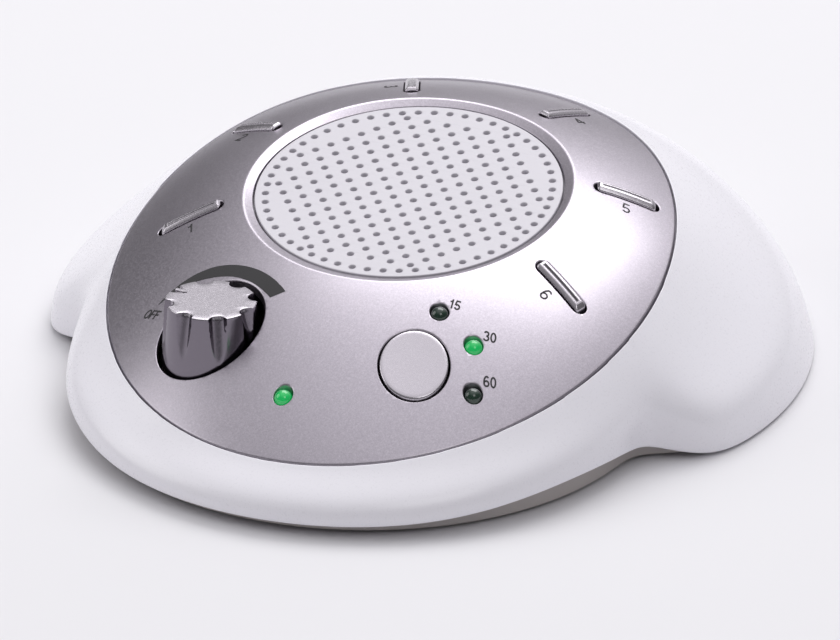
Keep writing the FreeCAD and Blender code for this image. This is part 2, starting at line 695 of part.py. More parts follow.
def volume_knob():
    """Round knob with tapering flutes that are deepest at its top."""
    crown, hub = KNOB_TOP - KNOB_CROWN, KNOB_BOTTOM + KNOB_HUB_LIFT
    radii = [(0, KNOB_TOP), (KNOB_TOP_RADIUS - KNOB_EDGE, KNOB_TOP),
             (KNOB_TOP_RADIUS, KNOB_TOP - KNOB_EDGE), (KNOB_BASE_RADIUS, KNOB_BOTTOM),
             (KNOB_BASE_RADIUS - KNOB_WALL, KNOB_BOTTOM),
             (KNOB_TOP_RADIUS - FLUTE_DEPTH - KNOB_WALL, crown), (KNOB_HUB_RADIUS, crown),
             (KNOB_HUB_RADIUS, hub), (SHAFT_RADIUS, hub), (SHAFT_RADIUS, SHAFT_TOP),
             (0, SHAFT_TOP)]
    knob = revolved(radii)
    flutes = []
    for i in range(FLUTE_COUNT):
        top_centre = KNOB_TOP_RADIUS + FLUTE_RADIUS - FLUTE_DEPTH
        start = Vector(top_centre, 0, KNOB_TOP)
        lean = Vector(FLUTE_LEAN, 0, -FLUTE_LENGTH)
        start = start - lean * (KNOB_EDGE / FLUTE_LENGTH)
        flute = Part.makeCylinder(FLUTE_RADIUS, lean.Length, start, lean)
        flute.rotate(Vector(), Vector(0, 0, 1), FLUTE_TURN + 360.0 * i / FLUTE_COUNT)
        flutes.append(flute)
    knob = knob.cut(flutes)
    knob.translate(Vector(KNOB_X, CONTROL_Y, 0))
    return knob


def pot_body():
    low = CONTROL_BOARD_Z + BOARD_WALL
    body = joined([cylinder(POT_RADIUS, KNOB_X, CONTROL_Y, low, low + POT_HEIGHT),
                   cylinder(POT_NECK_RADIUS, KNOB_X, CONTROL_Y, low, low + POT_HEIGHT + POT_NECK)])
    return body.cut(cylinder(SHAFT_RADIUS + RUNNING_FIT, KNOB_X, CONTROL_Y,
                             low + POT_FLOOR, low + POT_HEIGHT + POT_NECK))


def pot_shaft():
    low = CONTROL_BOARD_Z + BOARD_WALL + POT_FLOOR + SEAT_GAP
    return cylinder(SHAFT_RADIUS, KNOB_X, CONTROL_Y, low, SHAFT_TOP)


def switch_top(board_z):
    return board_z + BOARD_WALL + SWITCH_BODY + PLUNGER_HEIGHT


def tact_switch(x, y, board_z, angle):
    half = SWITCH_SIZE / 2
    low = board_z + BOARD_WALL
    body = box(-half, half, -half, half, low, low + SWITCH_BODY)
    switch = joined([body, cylinder(PLUNGER_RADIUS, 0, 0, low, switch_top(board_z))])
    switch.rotate(Vector(), Vector(0, 0, 1), angle)
    switch.translate(Vector(x, y, 0))
    return switch


def timer_button():
    low = TIMER_CAP_BOTTOM
    cap = cylinder(TIMER_RADIUS, TIMER_X, CONTROL_Y, low, TALL)
    cap = cap.common(dome_body(TIMER_PROUD, -TALL))
    flange = cylinder(TIMER_RADIUS + TIMER_FLANGE, TIMER_X, CONTROL_Y, low,
                      low + BUTTON_FLANGE_WALL)
    stem = cylinder(STEM_RADIUS, TIMER_X, CONTROL_Y,
                    switch_top(CONTROL_BOARD_Z) + BUTTON_TRAVEL + SEAT_GAP, low + BITE)
    hollow = cylinder(TIMER_RADIUS - TIMER_WALL, TIMER_X, CONTROL_Y, low - OVERRUN,
                      low + TIMER_HOLLOW)
    core = cylinder(STEM_RADIUS + TIMER_CORE, TIMER_X, CONTROL_Y, low,
                    low + TIMER_HOLLOW + BITE)
    return joined([cap.fuse(flange).cut(hollow), core, stem])


def sound_button(angle):
    """Bar that follows the panel's dome, with a retaining flange and a stem."""
    spot = sound_place(angle).Base
    low = bar_foot(angle)
    length, width = SLOT_LENGTH - 2 * BAR_END_GAP, SLOT_WIDTH - 2 * SEAT_GAP
    bar = placed_bar(angle, length, width, low, TALL, BAR_CORNER).common(
        dome_body(BAR_PROUD, -TALL))
    flange = placed_bar(angle, SLOT_LENGTH + 2 * BAR_FLANGE, SLOT_WIDTH + 2 * BAR_FLANGE,
                        low, low + BUTTON_FLANGE_WALL, BAR_CORNER)
    stem = cylinder(STEM_RADIUS, spot.x, spot.y,
                    switch_top(board_z_at(angle)) + BUTTON_TRAVEL + SEAT_GAP, low + BITE)
    return joined([bar, flange, stem])


def button_board():
    """Three arc-shaped boards at the sides and behind the speaker, two buttons on each."""
    boards = []
    for middle in BUTTON_BOARD_ANGLES:
        low = button_board_z(middle)
        arc = Part.makeCylinder(BUTTON_BOARD_INNER + BUTTON_BOARD_WIDTH, BOARD_WALL,
                                Vector(0, 0, low), Vector(0, 0, 1), BUTTON_BOARD_SPAN)
        arc.rotate(Vector(), Vector(0, 0, 1), middle - BUTTON_BOARD_SPAN / 2)
        arc = arc.cut(cylinder(BUTTON_BOARD_INNER, 0, 0, 0, TALL))
        arc.translate(Vector(0, GRILLE_Y, 0))
        boards.append(arc.cut([cylinder(BOARD_HOLE_RADIUS, x, y, 0, TALL)
                               for x, y, z in button_board_spots()]))
    return Part.Compound(boards)


def board_screws(spots, direction, length):
    """Small pan-head screws at their heads' seats, shanks pointing up or down."""
    screws = []
    for x, y, seat in spots:
        head = sorted((seat, seat - direction * BOARD_SCREW_HEAD))
        shank = sorted((seat - direction * BOARD_SCREW_HEAD / 2, seat + direction * length))
        screws.append(joined([cylinder(BOARD_SCREW_HEAD_RADIUS, x, y, *head),
                              cylinder(BOARD_SCREW_RADIUS, x, y, *shank)]))
    return Part.Compound(screws)


def control_board():
    half = CONTROL_BOARD_WIDTH / 2
    corner = CONTROL_BOARD_CORNER
    points = [(-half, CONTROL_BOARD_BACK), (half, CONTROL_BOARD_BACK),
              (half, CONTROL_BOARD_FRONT + corner), (half - corner, CONTROL_BOARD_FRONT),
              (-half + corner, CONTROL_BOARD_FRONT), (-half, CONTROL_BOARD_FRONT + corner)]
    outline = Part.makePolygon([Vector(x, y, CONTROL_BOARD_Z) for x, y in points + points[:1]])
    board = Part.Face(outline).extrude(Vector(0, 0, BOARD_WALL))
    cuts = [cylinder(BOARD_HOLE_RADIUS, x, y, 0, TALL) for x, y in mirrored(CONTROL_POSTS)]
    cuts += [cylinder(BOSS_RADIUS + BOARD_CLEARANCE, x, y, 0, TALL)
             for x, y in mirrored(PANEL_BOSSES)]
    return board.cut(cuts)


def led(x, y):
    """Round lens that stands a little proud of the panel, with a flange under it."""
    top = dome(x, y) + LED_PROUD
    low = top - LED_LENGTH
    lens = cylinder(LED_RADIUS, x, y, low, top - LED_SHOULDER)
    ball = Part.makeSphere(LED_RADIUS, Vector(x, y, top - LED_RADIUS))
    flange = cylinder(LED_RADIUS + LED_FLANGE_WIDTH, x, y, low, low + LED_FLANGE)
    return joined([lens, ball, flange])


def led_legs():
    legs = []
    low = CONTROL_BOARD_Z + BOARD_WALL
    for x, y in LEDS.values():
        high = dome(x, y) + LED_PROUD - LED_LENGTH
        for side in (-1, 1):
            legs.append(cylinder(LEG_RADIUS, x + side * LEG_SPACING / 2, y, low, high))
    return Part.Compound(legs)


def control_chips():
    """Flat packages on the control board: the sound chip, the amplifier and the timer."""
    low = CONTROL_BOARD_Z + BOARD_WALL
    return Part.Compound([box(x - length / 2, x + length / 2, y - width / 2, y + width / 2,
                              low, low + CHIP_HEIGHT) for x, y, length, width in CHIPS])


def capacitors():
    low = CONTROL_BOARD_Z + BOARD_WALL
    return Part.Compound([cylinder(radius, x, y, low, low + height)
                          for radius, height, x, y in CANS])


def base_outline(inset):
    """Closed curve of the base in plan, inset from its outer face."""
    belly, wing = BASE_BELLY_RADIUS - inset, BASE_WING_RADIUS - inset
    turns = [math.degrees(t) for t in skin_turns()]
    right = [outline_point(a, belly, wing, BASE_WING_Y) for a in turns]
    left = [(-x, y) for x, y in reversed(right[1:-1])]
    curve = Part.BSplineCurve()
    curve.interpolate([Vector(x, y, 0) for x, y in right + left], PeriodicFlag=True)
    return Part.Wire(curve.toShape())


def base_prism(inset, low, high):
    prism = Part.Face(base_outline(inset)).extrude(Vector(0, 0, high - low))
    prism.translate(Vector(0, 0, low))
    return prism


def bay_back():
    return BAY_FRONT + 4 * CELL_RADIUS + 3 * CELL_GAP


def bay_top():
    return BASE_BOTTOM + DOOR_WALL + 2 * (CELL_RADIUS + CELL_GAP)


def base_cover():
    floor_top = BASE_BOTTOM + BASE_FLOOR
    front_y = BELLY_Y - BELLY_RADIUS
    rise = math.tan(math.radians(BASE_RIM_SLOPE))
    rim_side = [Vector(0, front_y, 0), Vector(0, front_y, BASE_RIM_FRONT)]
    slope_end = front_y + (BASE_RIM_TOP - BASE_RIM_FRONT) / rise
    rim_side += [Vector(0, slope_end, BASE_RIM_TOP), Vector(0, BASE_RIM_BACK, BASE_RIM_TOP),
                 Vector(0, BASE_RIM_BACK, 0), Vector(0, front_y, 0)]
    rim_zone = Part.Face(Part.makePolygon(rim_side)).extrude(Vector(4 * WING_RADIUS, 0, 0))
    rim_zone.translate(Vector(-2 * WING_RADIUS, 0, 0))
    wall_ring = base_prism(0, BASE_BOTTOM, BASE_RIM_TOP + OVERRUN).cut(
        base_prism(BASE_WALL, 0, TALL)).common(rim_zone)
    dish = base_prism(0, BASE_BOTTOM, floor_top).fuse(wall_ring)
    wall = BAY_WALL
    half, back, roof = BAY_HALF_WIDTH, bay_back(), bay_top()
    housing = box(-half - wall, half + wall, BAY_FRONT - wall, back + wall, BASE_BOTTOM,
                  roof + BAY_ROOF)
    bay = box(-half, half, BAY_FRONT, back, 0, roof)
    posts = [cylinder(POST_RADIUS, x, y, floor_top - BITE, CONTROL_BOARD_Z)
             for x, y in mirrored(CONTROL_POSTS)]
    cradle_half = JACK_WIDTH / 2 + CRADLE_WALL
    cradle = box(-cradle_half, cradle_half, JACK_REAR - JACK_LENGTH - CRADLE_FRONT,
                 JACK_REAR - JACK_FREE, floor_top - BITE,
                 JACK_AXIS_Z - JACK_HEIGHT / 2 + CRADLE_GRIP)
    cradle = cradle.cut(jack_block())
    base = dish.multiFuse([housing] + posts + [cradle])
    cuts = [bay]
    cuts += [cylinder(BOARD_SCREW_RADIUS, x, y, floor_top, TALL)
             for x, y in mirrored(CONTROL_POSTS)]
    for x, y in mirrored(shell_boss_spots() + list(PANEL_BOSSES)):
        cuts.append(cylinder(SCREW_RADIUS + SCREW_SLACK, x, y, 0, floor_top + OVERRUN))
        cuts.append(cylinder(SCREW_HEAD_RADIUS + SEAT_GAP, x, y, 0,
                             BASE_BOTTOM + SCREW_HEAD_HEIGHT))
    cuts += [cylinder(FOOT_RADIUS, x, y, 0, BASE_BOTTOM + FOOT_RECESS) for x, y in mirrored(FEET)]
    return base.cut(cuts)


def battery_door():
    half = BAY_HALF_WIDTH - MOVING_GAP
    low, high = BASE_BOTTOM, BASE_BOTTOM + DOOR_WALL
    plate = box(-half, half, BAY_FRONT + MOVING_GAP, bay_back() - MOVING_GAP, low, high)
    grip_front, grip_rear = [bay_back() - edge for edge in GRIP_EDGES]
    grip = box(-GRIP_HALF, GRIP_HALF, grip_front, grip_rear, low - OVERRUN, low + GRIP_DEPTH)
    rib_y = BAY_FRONT + 2 * CELL_RADIUS + CELL_GAP * 3 / 2 - RIB_WALL / 2
    rib = box(-half + RIB_END_GAP, half - RIB_END_GAP, rib_y, rib_y + RIB_WALL,
              high - DOOR_BITE, high + RIB_RISE)
    latch_y = bay_back() - MOVING_GAP
    latch = box(-DOOR_LATCH_HALF, DOOR_LATCH_HALF, latch_y - DOOR_LATCH_WALL, latch_y,
                high - DOOR_BITE, high + DOOR_LATCH)
    return joined([plate.cut(grip), latch, rib])


def battery_cells():
    """Four cells, each pair end to end, facing opposite ways in the two rows."""
    cells = []
    z = BASE_BOTTOM + DOOR_WALL + CELL_GAP + CELL_RADIUS
    for row in (0, 1):
        y = BAY_FRONT + CELL_GAP + CELL_RADIUS + row * (2 * CELL_RADIUS + CELL_GAP)
        turn = 1 if row else -1
        for start in (-CELL_LENGTH - CELL_NUB, 0.0):
            first = start if turn > 0 else start + CELL_NUB
            body = Part.makeCylinder(CELL_RADIUS, CELL_LENGTH, Vector(first, y, z),
                                     Vector(1, 0, 0))
            nub_x = first + CELL_LENGTH if turn > 0 else first - CELL_NUB
            nub = Part.makeCylinder(CELL_NUB_RADIUS, CELL_NUB, Vector(nub_x, y, z),
                                    Vector(1, 0, 0))
            cells.append(joined([body, nub]))
    return Part.Compound(cells)


def battery_contacts():
    """Spring-steel plates at both ends of the bay."""
    plates = []
    low, high = BASE_BOTTOM + DOOR_WALL + CONTACT_INSET, bay_top() - CONTACT_TOP_GAP
    front, rear = BAY_FRONT + CONTACT_INSET, bay_back() - CONTACT_INSET
    middle = (BAY_FRONT + bay_back()) / 2
    reach = CELL_LENGTH + CELL_NUB
    plates.append(box(-BAY_HALF_WIDTH, -BAY_HALF_WIDTH + CONTACT_WALL, front, rear, low, high))
    for y0, y1 in ((front, middle - CONTACT_SPLIT), (middle + CONTACT_SPLIT, rear)):
        plates.append(box(BAY_HALF_WIDTH - CONTACT_WALL, BAY_HALF_WIDTH, y0, y1, low, high))
    springs = []
    z = BASE_BOTTOM + DOOR_WALL + CELL_GAP + CELL_RADIUS
    for row, side in ((0, -1), (0, 1), (1, -1), (1, 1)):
        y = BAY_FRONT + CELL_GAP + CELL_RADIUS + row * (2 * CELL_RADIUS + CELL_GAP)
        inner = side * reach
        outer = side * (BAY_HALF_WIDTH - CONTACT_WALL)
        springs.append(Part.makeCone(*SPRING_RADII, abs(outer - inner), Vector(outer, y, z),
                                     Vector(-side, 0, 0)))
    left = joined([plates[0], springs[0], springs[2]])
    rights = [joined([plates[1], springs[1]]), joined([plates[2], springs[3]])]
    return Part.Compound([left] + rights)


def rubber_feet():
    feet = []
    for x, y in mirrored(FEET):
        pad = cylinder(FOOT_RADIUS, x, y, 0, BASE_BOTTOM + FOOT_RECESS)
        rim = [e for e in pad.Edges if e.BoundBox.ZMax < TOLERANCE]
        feet.append(pad.makeChamfer(FOOT_EDGE, rim))
    return Part.Compound(feet)


def case_screws():
    screws = []
    for x, y in mirrored(shell_boss_spots() + list(PANEL_BOSSES)):
        seat = BASE_BOTTOM + SCREW_HEAD_HEIGHT
        head = cylinder(SCREW_HEAD_RADIUS, x, y, BASE_BOTTOM + SCREW_SINK, seat)
        long, wide, deep = CROSS_HALF_LENGTH, CROSS_HALF_WIDTH, BASE_BOTTOM + CROSS_DEPTH
        cross = box(-long, long, -wide, wide, 0, deep).fuse(box(-wide, wide, -long, long, 0, deep))
        cross.translate(Vector(x, y, 0))
        shank = cylinder(SCREW_RADIUS, x, y, seat - BITE, seat + SCREW_LENGTH - SCREW_END_GAP)
        screws.append(joined([head, shank]).cut(cross))
    return Part.Compound(screws)


def jack_block():
    return box(-JACK_WIDTH / 2, JACK_WIDTH / 2, JACK_REAR - JACK_LENGTH, JACK_REAR,
               JACK_AXIS_Z - JACK_HEIGHT / 2, JACK_AXIS_Z + JACK_HEIGHT / 2)


def dc_jack():
    bore = Part.makeCylinder(JACK_BORE, JACK_DEPTH, Vector(0, JACK_REAR, JACK_AXIS_Z),
                             Vector(0, -1, 0))
    return jack_block().cut(bore)


def jack_pin():
    return Part.makeCylinder(JACK_PIN_RADIUS, JACK_DEPTH - JACK_PIN_SETBACK,
                             Vector(0, JACK_REAR - JACK_DEPTH, JACK_AXIS_Z), Vector(0, 1, 0))


def wire(points, radius, bend):
    """Round wire along straight runs that are joined by tangent arcs."""
    edges = []
    start = points[0]
    for before, corner, after in zip(points, points[1:], points[2:]):
        into, out = (corner - before).normalize(), (after - corner).normalize()
        half = into.getAngle(out) / 2
        cut = bend * math.tan(half)
        first, last = corner - into * cut, corner + out * cut
        centre_way = (out - into).normalize()
        middle = corner + centre_way * (bend / math.cos(half) - bend)
        edges.append(Part.LineSegment(start, first).toShape())
        edges.append(Part.Arc(first, middle, last).toShape())
        start = last
    edges.append(Part.LineSegment(start, points[-1]).toShape())
    path = Part.Wire(edges)
    way = (points[1] - points[0]).normalize()
    profile = Part.Wire(Part.makeCircle(radius, points[0], way))
    return path.makePipeShell([profile], True, False)


def speaker_leads():
    """Pair of wires from the control board to the speaker's rear."""
    leads = []
    start_y = CONTROL_BOARD_BACK - WIRE_SETBACK
    behind, below = SPEAKER_WIRE_END
    for side in (-1, 1):
        x = SPEAKER_WIRE_X + side * SPEAKER_WIRE_SPREAD
        points = [Vector(x, start_y, CONTROL_BOARD_Z + BOARD_WALL),
                  Vector(x, start_y, SPEAKER_WIRE_RISE),
                  Vector(x, CONTROL_BOARD_BACK + behind, GRILLE_Z - below)]
        leads.append(wire(points, WIRE_RADIUS, SPEAKER_WIRE_BEND))
    return Part.Compound(leads)


def battery_leads():
    """Pair of wires from the control board to the battery bay's front wall."""
    leads = []
    start_y = CONTROL_BOARD_BACK - WIRE_SETBACK
    for side in (-1, 1):
        x = side * BATTERY_WIRE_X
        points = [Vector(x * BATTERY_WIRE_START, start_y, CONTROL_BOARD_Z + BOARD_WALL),
                  Vector(x * BATTERY_WIRE_START, start_y, BATTERY_WIRE_RISE)]
        points += [Vector(x, y, z) for y, z in BATTERY_WIRE_KNEES]
        points.append(Vector(x, BAY_FRONT - BAY_WALL, BATTERY_WIRE_KNEES[-1][1]))
        leads.append(wire(points, WIRE_RADIUS, BATTERY_WIRE_BEND))
    return Part.Compound(leads)


def build_parts():
    """Every node of the machine by name, in the panel's own frame."""
    parts = {
        "outer_shell": outer_shell(),
        "faceplate": faceplate(),
        "speaker_grille": speaker_grille(),
        "grille_scrim": grille_scrim(),
        "speaker_basket": speaker_basket(),
        "speaker_cone": speaker_cone(),
        "dust_cap": dust_cap(),
        "speaker_magnet": speaker_magnet(),
        "speaker_screws": speaker_screws(),
        "volume_knob": volume_knob(),
        "volume_pot_body": pot_body(),
        "volume_pot_shaft": pot_shaft(),
        "timer_button": timer_button(),
        "timer_switch": tact_switch(TIMER_X, CONTROL_Y, CONTROL_BOARD_Z, 0),
        "button_board": button_board(),
        "button_board_screws": board_screws(
            button_board_spots(), 1, BOARD_WALL + BOARD_SCREW_LENGTH - BOARD_SCREW_END_GAP),
        "control_board": control_board(),
        "control_board_screws": board_screws(
            [(x, y, CONTROL_BOARD_Z + BOARD_WALL) for x, y in mirrored(CONTROL_POSTS)],
            -1, CONTROL_BOARD_Z + BOARD_WALL - BASE_BOTTOM - BASE_FLOOR - BOARD_SCREW_END_GAP),
        "led_legs": led_legs(),
        "control_chips": control_chips(),
        "capacitors": capacitors(),
        "base_cover": base_cover(),
        "battery_door": battery_door(),
        "battery_cells": battery_cells(),
        "battery_contacts": battery_contacts(),
        "rubber_feet": rubber_feet(),
        "case_screws": case_screws(),
        "dc_jack": dc_jack(),
        "jack_pin": jack_pin(),
        "speaker_leads": speaker_leads(),
        "battery_leads": battery_leads(),
    }
    switches = []
    for number, angle in enumerate(SOUND_ANGLES, 1):
        parts["sound_button_%d" % number] = sound_button(angle)
        spot = sound_place(angle).Base
        switches.append(tact_switch(spot.x, spot.y, board_z_at(angle), angle))
    parts["sound_switches"] = Part.Compound(switches)
    for name, (x, y) in LEDS.items():
        parts[name] = led(x, y)
    return parts


def main():
    parts = build_parts()
    bounds = parts["outer_shell"].optimalBoundingBox(False)
    shift = -(bounds.YMin + bounds.YMax) / 2
    print("panel centre moved along Y by %.3f" % shift)
    for name, shape in sorted(parts.items()):
        shape.translate(Vector(0, shift, 0))
        b = shape.BoundBox
        print("%-22s solids %d valid %s volume %9.1f  x %.1f..%.1f y %.1f..%.1f z %.2f..%.2f"
              % (name, len(shape.Solids), shape.isValid(), shape.Volume,
                 b.XMin, b.XMax, b.YMin, b.YMax, b.ZMin, b.ZMax))
        shape.exportStep("parts/%s.step" % name)


main()
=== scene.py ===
"""Looks of a table-top sound machine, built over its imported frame.

Lengths are in millimetres from the control panel's centre on the table, and become
metres in the row frame when a mesh is made.
"""

from __future__ import annotations

import logging
import math
from collections.abc import Callable, Iterator, Sequence
from contextlib import contextmanager
from dataclasses import dataclass, field
from enum import Enum

import bpy  # noqa: E402
import numpy as np  # noqa: E402
from mathutils import Matrix, Vector  # noqa: E402


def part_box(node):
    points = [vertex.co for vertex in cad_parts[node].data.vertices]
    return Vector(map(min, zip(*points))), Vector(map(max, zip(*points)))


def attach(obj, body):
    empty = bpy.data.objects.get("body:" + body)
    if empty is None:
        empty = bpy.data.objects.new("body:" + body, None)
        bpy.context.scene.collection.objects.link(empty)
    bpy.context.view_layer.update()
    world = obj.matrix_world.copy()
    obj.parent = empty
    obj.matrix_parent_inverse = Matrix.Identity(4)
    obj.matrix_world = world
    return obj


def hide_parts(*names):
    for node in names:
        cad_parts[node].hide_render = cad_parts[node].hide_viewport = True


logging.basicConfig(level=logging.INFO, format="%(name)s: %(message)s")
LOG = logging.getLogger("sound_machine")

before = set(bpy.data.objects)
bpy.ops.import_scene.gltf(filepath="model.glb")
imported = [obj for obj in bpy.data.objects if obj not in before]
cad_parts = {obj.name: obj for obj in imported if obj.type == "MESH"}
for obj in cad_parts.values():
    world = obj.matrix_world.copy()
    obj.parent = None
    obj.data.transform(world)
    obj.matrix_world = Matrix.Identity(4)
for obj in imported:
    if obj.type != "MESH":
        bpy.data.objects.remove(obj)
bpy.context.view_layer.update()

MM = 0.001
MERGE = 2e-6
PANEL_Y = sum(corner.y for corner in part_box("faceplate")) / 2
KNOB_AT = (-24.2, -42.2)
TIMER_AT = (23.5, -42.2)

Flat = tuple[float, float]
Point = tuple[float, float, float]
Rows = Sequence[Sequence[Point]]
Outline = Callable[[float], list[Flat]]
Piece = bpy.types.Object
Tree = bpy.types.NodeTree
Socket = bpy.types.NodeSocket


class Body(Enum):
    """Moving and fixed bodies of the frame that the pieces ride on."""

    HOUSING = "housing"
    VOLUME = "volume"
    TIMER = "timer"
    DOOR = "door"


def in_metres(point: Point) -> Vector:
    """Place in the row frame of a point given in millimetres from the panel's centre."""
    return Vector((point[0] * MM, point[1] * MM + PANEL_Y, point[2] * MM))


def polar(degrees: float, radius: float = 1.0) -> Flat:
    """Plan point at an angle in degrees and a distance from the origin."""
    turn = math.radians(degrees)
    return radius * math.cos(turn), radius * math.sin(turn)


def quarter(radius: float, degrees: Sequence[float]) -> list[Flat]:
    """Inset and rise of points along a round, from its wall towards its top."""
    return [(radius - inset, rise) for inset, rise in (polar(d, radius) for d in degrees)]


# ---- Mesh helpers


def deselect() -> None:
    """Leaves nothing selected, so that an operator acts on the new piece alone."""
    if bpy.context.object and bpy.context.object.mode != "OBJECT":
        bpy.ops.object.mode_set(mode="OBJECT")
    bpy.ops.object.select_all(action="DESELECT")


def activate(piece: Piece) -> None:
    """Makes a piece the only selected and active one."""
    deselect()
    piece.select_set(True)
    bpy.context.view_layer.objects.active = piece


@contextmanager
def editing(piece: Piece, action: str = "SELECT") -> Iterator[None]:
    """Edit mode on a piece, with all of it selected or nothing."""
    activate(piece)
    bpy.ops.object.mode_set(mode="EDIT")
    bpy.ops.mesh.select_all(action=action)
    yield
    bpy.ops.object.mode_set(mode="OBJECT")


def close_skin(piece: Piece) -> None:
    """Merges the doubles of a skin and turns its faces outwards."""
    with editing(piece):
        bpy.ops.mesh.remove_doubles(threshold=MERGE)
        bpy.ops.mesh.normals_make_consistent(inside=False)


def face_up(piece: Piece) -> None:
    """Turns those faces of a flat print over that look down."""
    with editing(piece, "DESELECT"):
        bpy.ops.object.mode_set(mode="OBJECT")
        for face in piece.data.polygons:
            face.select = face.normal.z < 0
        bpy.ops.object.mode_set(mode="EDIT")
        bpy.ops.mesh.flip_normals()


def link_mesh(name: str, mesh: bpy.types.Mesh) -> Piece:
    """Puts a mesh into the scene as a new object."""
    piece = bpy.data.objects.new(name, mesh)
    bpy.context.scene.collection.objects.link(piece)
    return piece


def loft(name: str, rows: Rows) -> Piece:
    """Makes a piece whose skin runs through rows of points.

    Args:
        name: Name of the new object.
        rows: Rows of points in millimetres, all of the same length. A row whose
            points are all one point closes the skin there.

    Returns:
        The new object, its doubles merged and its faces outwards.
    """
    lines, columns = len(rows) - 1, len(rows[0]) - 1
    deselect()
    bpy.ops.mesh.primitive_grid_add(x_subdivisions=columns, y_subdivisions=lines, size=2.0)
    piece = bpy.context.object
    piece.name = piece.data.name = name
    for vertex in piece.data.vertices:
        column = round((vertex.co.x + 1) / 2 * columns)
        line = round((vertex.co.y + 1) / 2 * lines)
        vertex.co = in_metres(rows[line][column])
    close_skin(piece)
    return piece


def turned(name: str, profile: Sequence[Flat], centre: Flat, steps: int = 48) -> Piece:
    """Makes a round piece by spinning a profile about an upright axis.

    Args:
        name: Name of the new object.
        profile: Radius and height pairs in millimetres, from axis to axis.
        centre: Place of the axis in plan.
        steps: Number of steps in the full turn.

    Returns:
        The new object.
    """
    x, y = centre
    mesh = bpy.data.meshes.new(name)
    points = [in_metres((x + radius, y, height)) for radius, height in profile]
    mesh.from_pydata(points, [(i, i + 1) for i in range(len(points) - 1)], [])
    piece = link_mesh(name, mesh)
    with editing(piece):
        bpy.ops.mesh.spin(steps=steps, angle=2 * math.pi, center=in_metres((x, y, 0)),
                          axis=(0, 0, 1))
    close_skin(piece)
    return piece


def join(pieces: Sequence[Piece]) -> Piece:
    """Joins pieces into the first one and returns it."""
    activate(pieces[0])
    for piece in pieces[1:]:
        piece.select_set(True)
    bpy.ops.object.join()
    return pieces[0]


def apply_modifier(piece: Piece, kind: str, settings: dict[str, object]) -> None:
    """Adds a modifier with its settings and applies it.

    Args:
        piece: Object to change.
        kind: Blender's name of the modifier's kind.
        settings: Values of the modifier's own settings.
    """
    activate(piece)
    modifier = piece.modifiers.new(kind.title(), kind)
    for setting, value in settings.items():
        setattr(modifier, setting, value)
    bpy.ops.object.modifier_apply(modifier=modifier.name)


def carve(piece: Piece, tools: Sequence[Piece]) -> None:
    """Cuts the tools' shapes out of a piece and removes the tools."""
    tool = join(tools)
    apply_modifier(piece, "BOOLEAN", {"operation": "DIFFERENCE", "object": tool,
                                      "solver": "EXACT"})
    bpy.data.objects.remove(tool)


def smooth(piece: Piece, angle: float = 32.0, weighted: bool = True) -> None:
    """Shades a piece smooth, apart from edges sharper than an angle in degrees."""
    activate(piece)
    bpy.ops.object.shade_smooth_by_angle(angle=math.radians(angle))
    if weighted:
        apply_modifier(piece, "WEIGHTED_NORMAL", {"keep_sharp": True})


def eased(before: Point, corner: Point, after: Point, radius: float,
          steps: int = 4) -> list[Point]:
    """Points of a small round that takes the place of a corner.

    Args:
        before: Point of the profile ahead of the corner.
        corner: The corner itself.
        after: Point of the profile behind the corner.
        radius: Distance from the corner at which the round starts and ends.
        steps: Number of spans in the round.

    Returns:
        The round's points, from the side of before to the side of after.
    """
    c = Vector(corner)
    start = c + (Vector(before) - c).normalized() * radius
    end = c + (Vector(after) - c).normalized() * radius
    spans = [i / steps for i in range(steps + 1)]
    return [tuple(start * (1 - t) ** 2 + c * (2 * t * (1 - t)) + end * t ** 2) for t in spans]


# ---- Node helpers and finishes


def linear(hex_colour: str) -> tuple[float, float, float, float]:
    """Linear colour of an sRGB hex value."""
    values = [int(hex_colour[start:start + 2], 16) / 255 for start in (1, 3, 5)]
    red, green, blue = (v / 12.92 if v <= 0.04045 else ((v + 0.055) / 1.055) ** 2.4
                        for v in values)
    return red, green, blue, 1.0


def add_node(tree: Tree, kind: str, settings: dict | None = None,
             links: dict | None = None) -> bpy.types.Node:
    """Adds a node with its settings and links.

    Args:
        tree: Node tree to add to.
        kind: Blender's name of the node's kind.
        settings: Values by attribute name, or by the name or number of an input.
        links: Output sockets by the name or number of the input that they feed.

    Returns:
        The new node.
    """
    node = tree.nodes.new(kind)
    for key, value in (settings or {}).items():
        if isinstance(key, str) and hasattr(node, key):
            setattr(node, key, value)
        else:
            node.inputs[key].default_value = value
    for key, socket in (links or {}).items():
        tree.links.new(socket, node.inputs[key])
    return node


def noise(tree: Tree, place: Socket, size_mm: float, detail: float,
          roughness: float = 0.5) -> Socket:
    """Noise whose features have a size in millimetres."""
    return add_node(tree, "ShaderNodeTexNoise",
                    {"Scale": 1000 / size_mm, "Detail": detail, "Roughness": roughness},
                    {"Vector": place}).outputs["Fac"]


def spread(tree: Tree, value: Socket, source: Flat = (0.3, 0.7),
           target: Flat = (0.0, 1.0)) -> Socket:
    """Value mapped from one range to another."""
    return add_node(tree, "ShaderNodeMapRange",
                    {"From Min": source[0], "From Max": source[1], "To Min": target[0],
                     "To Max": target[1]}, {"Value": value}).outputs["Result"]


def relief(tree: Tree, height: Socket, depth_mm: float, strength: float = 1.0) -> Socket:
    """Normal of a surface whose relief has a depth in millimetres."""
    return add_node(tree, "ShaderNodeBump", {"Strength": strength, "Distance": depth_mm * MM},
                    {"Height": height}).outputs["Normal"]


def maths(tree: Tree, operation: str, *terms: float | Socket) -> Socket:
    """Result of a maths node whose terms are numbers or sockets."""
    fixed = {i: term for i, term in enumerate(terms) if isinstance(term, float)}
    wired = {i: term for i, term in enumerate(terms) if i not in fixed}
    return add_node(tree, "ShaderNodeMath", {"operation": operation, **fixed},
                    wired).outputs["Value"]


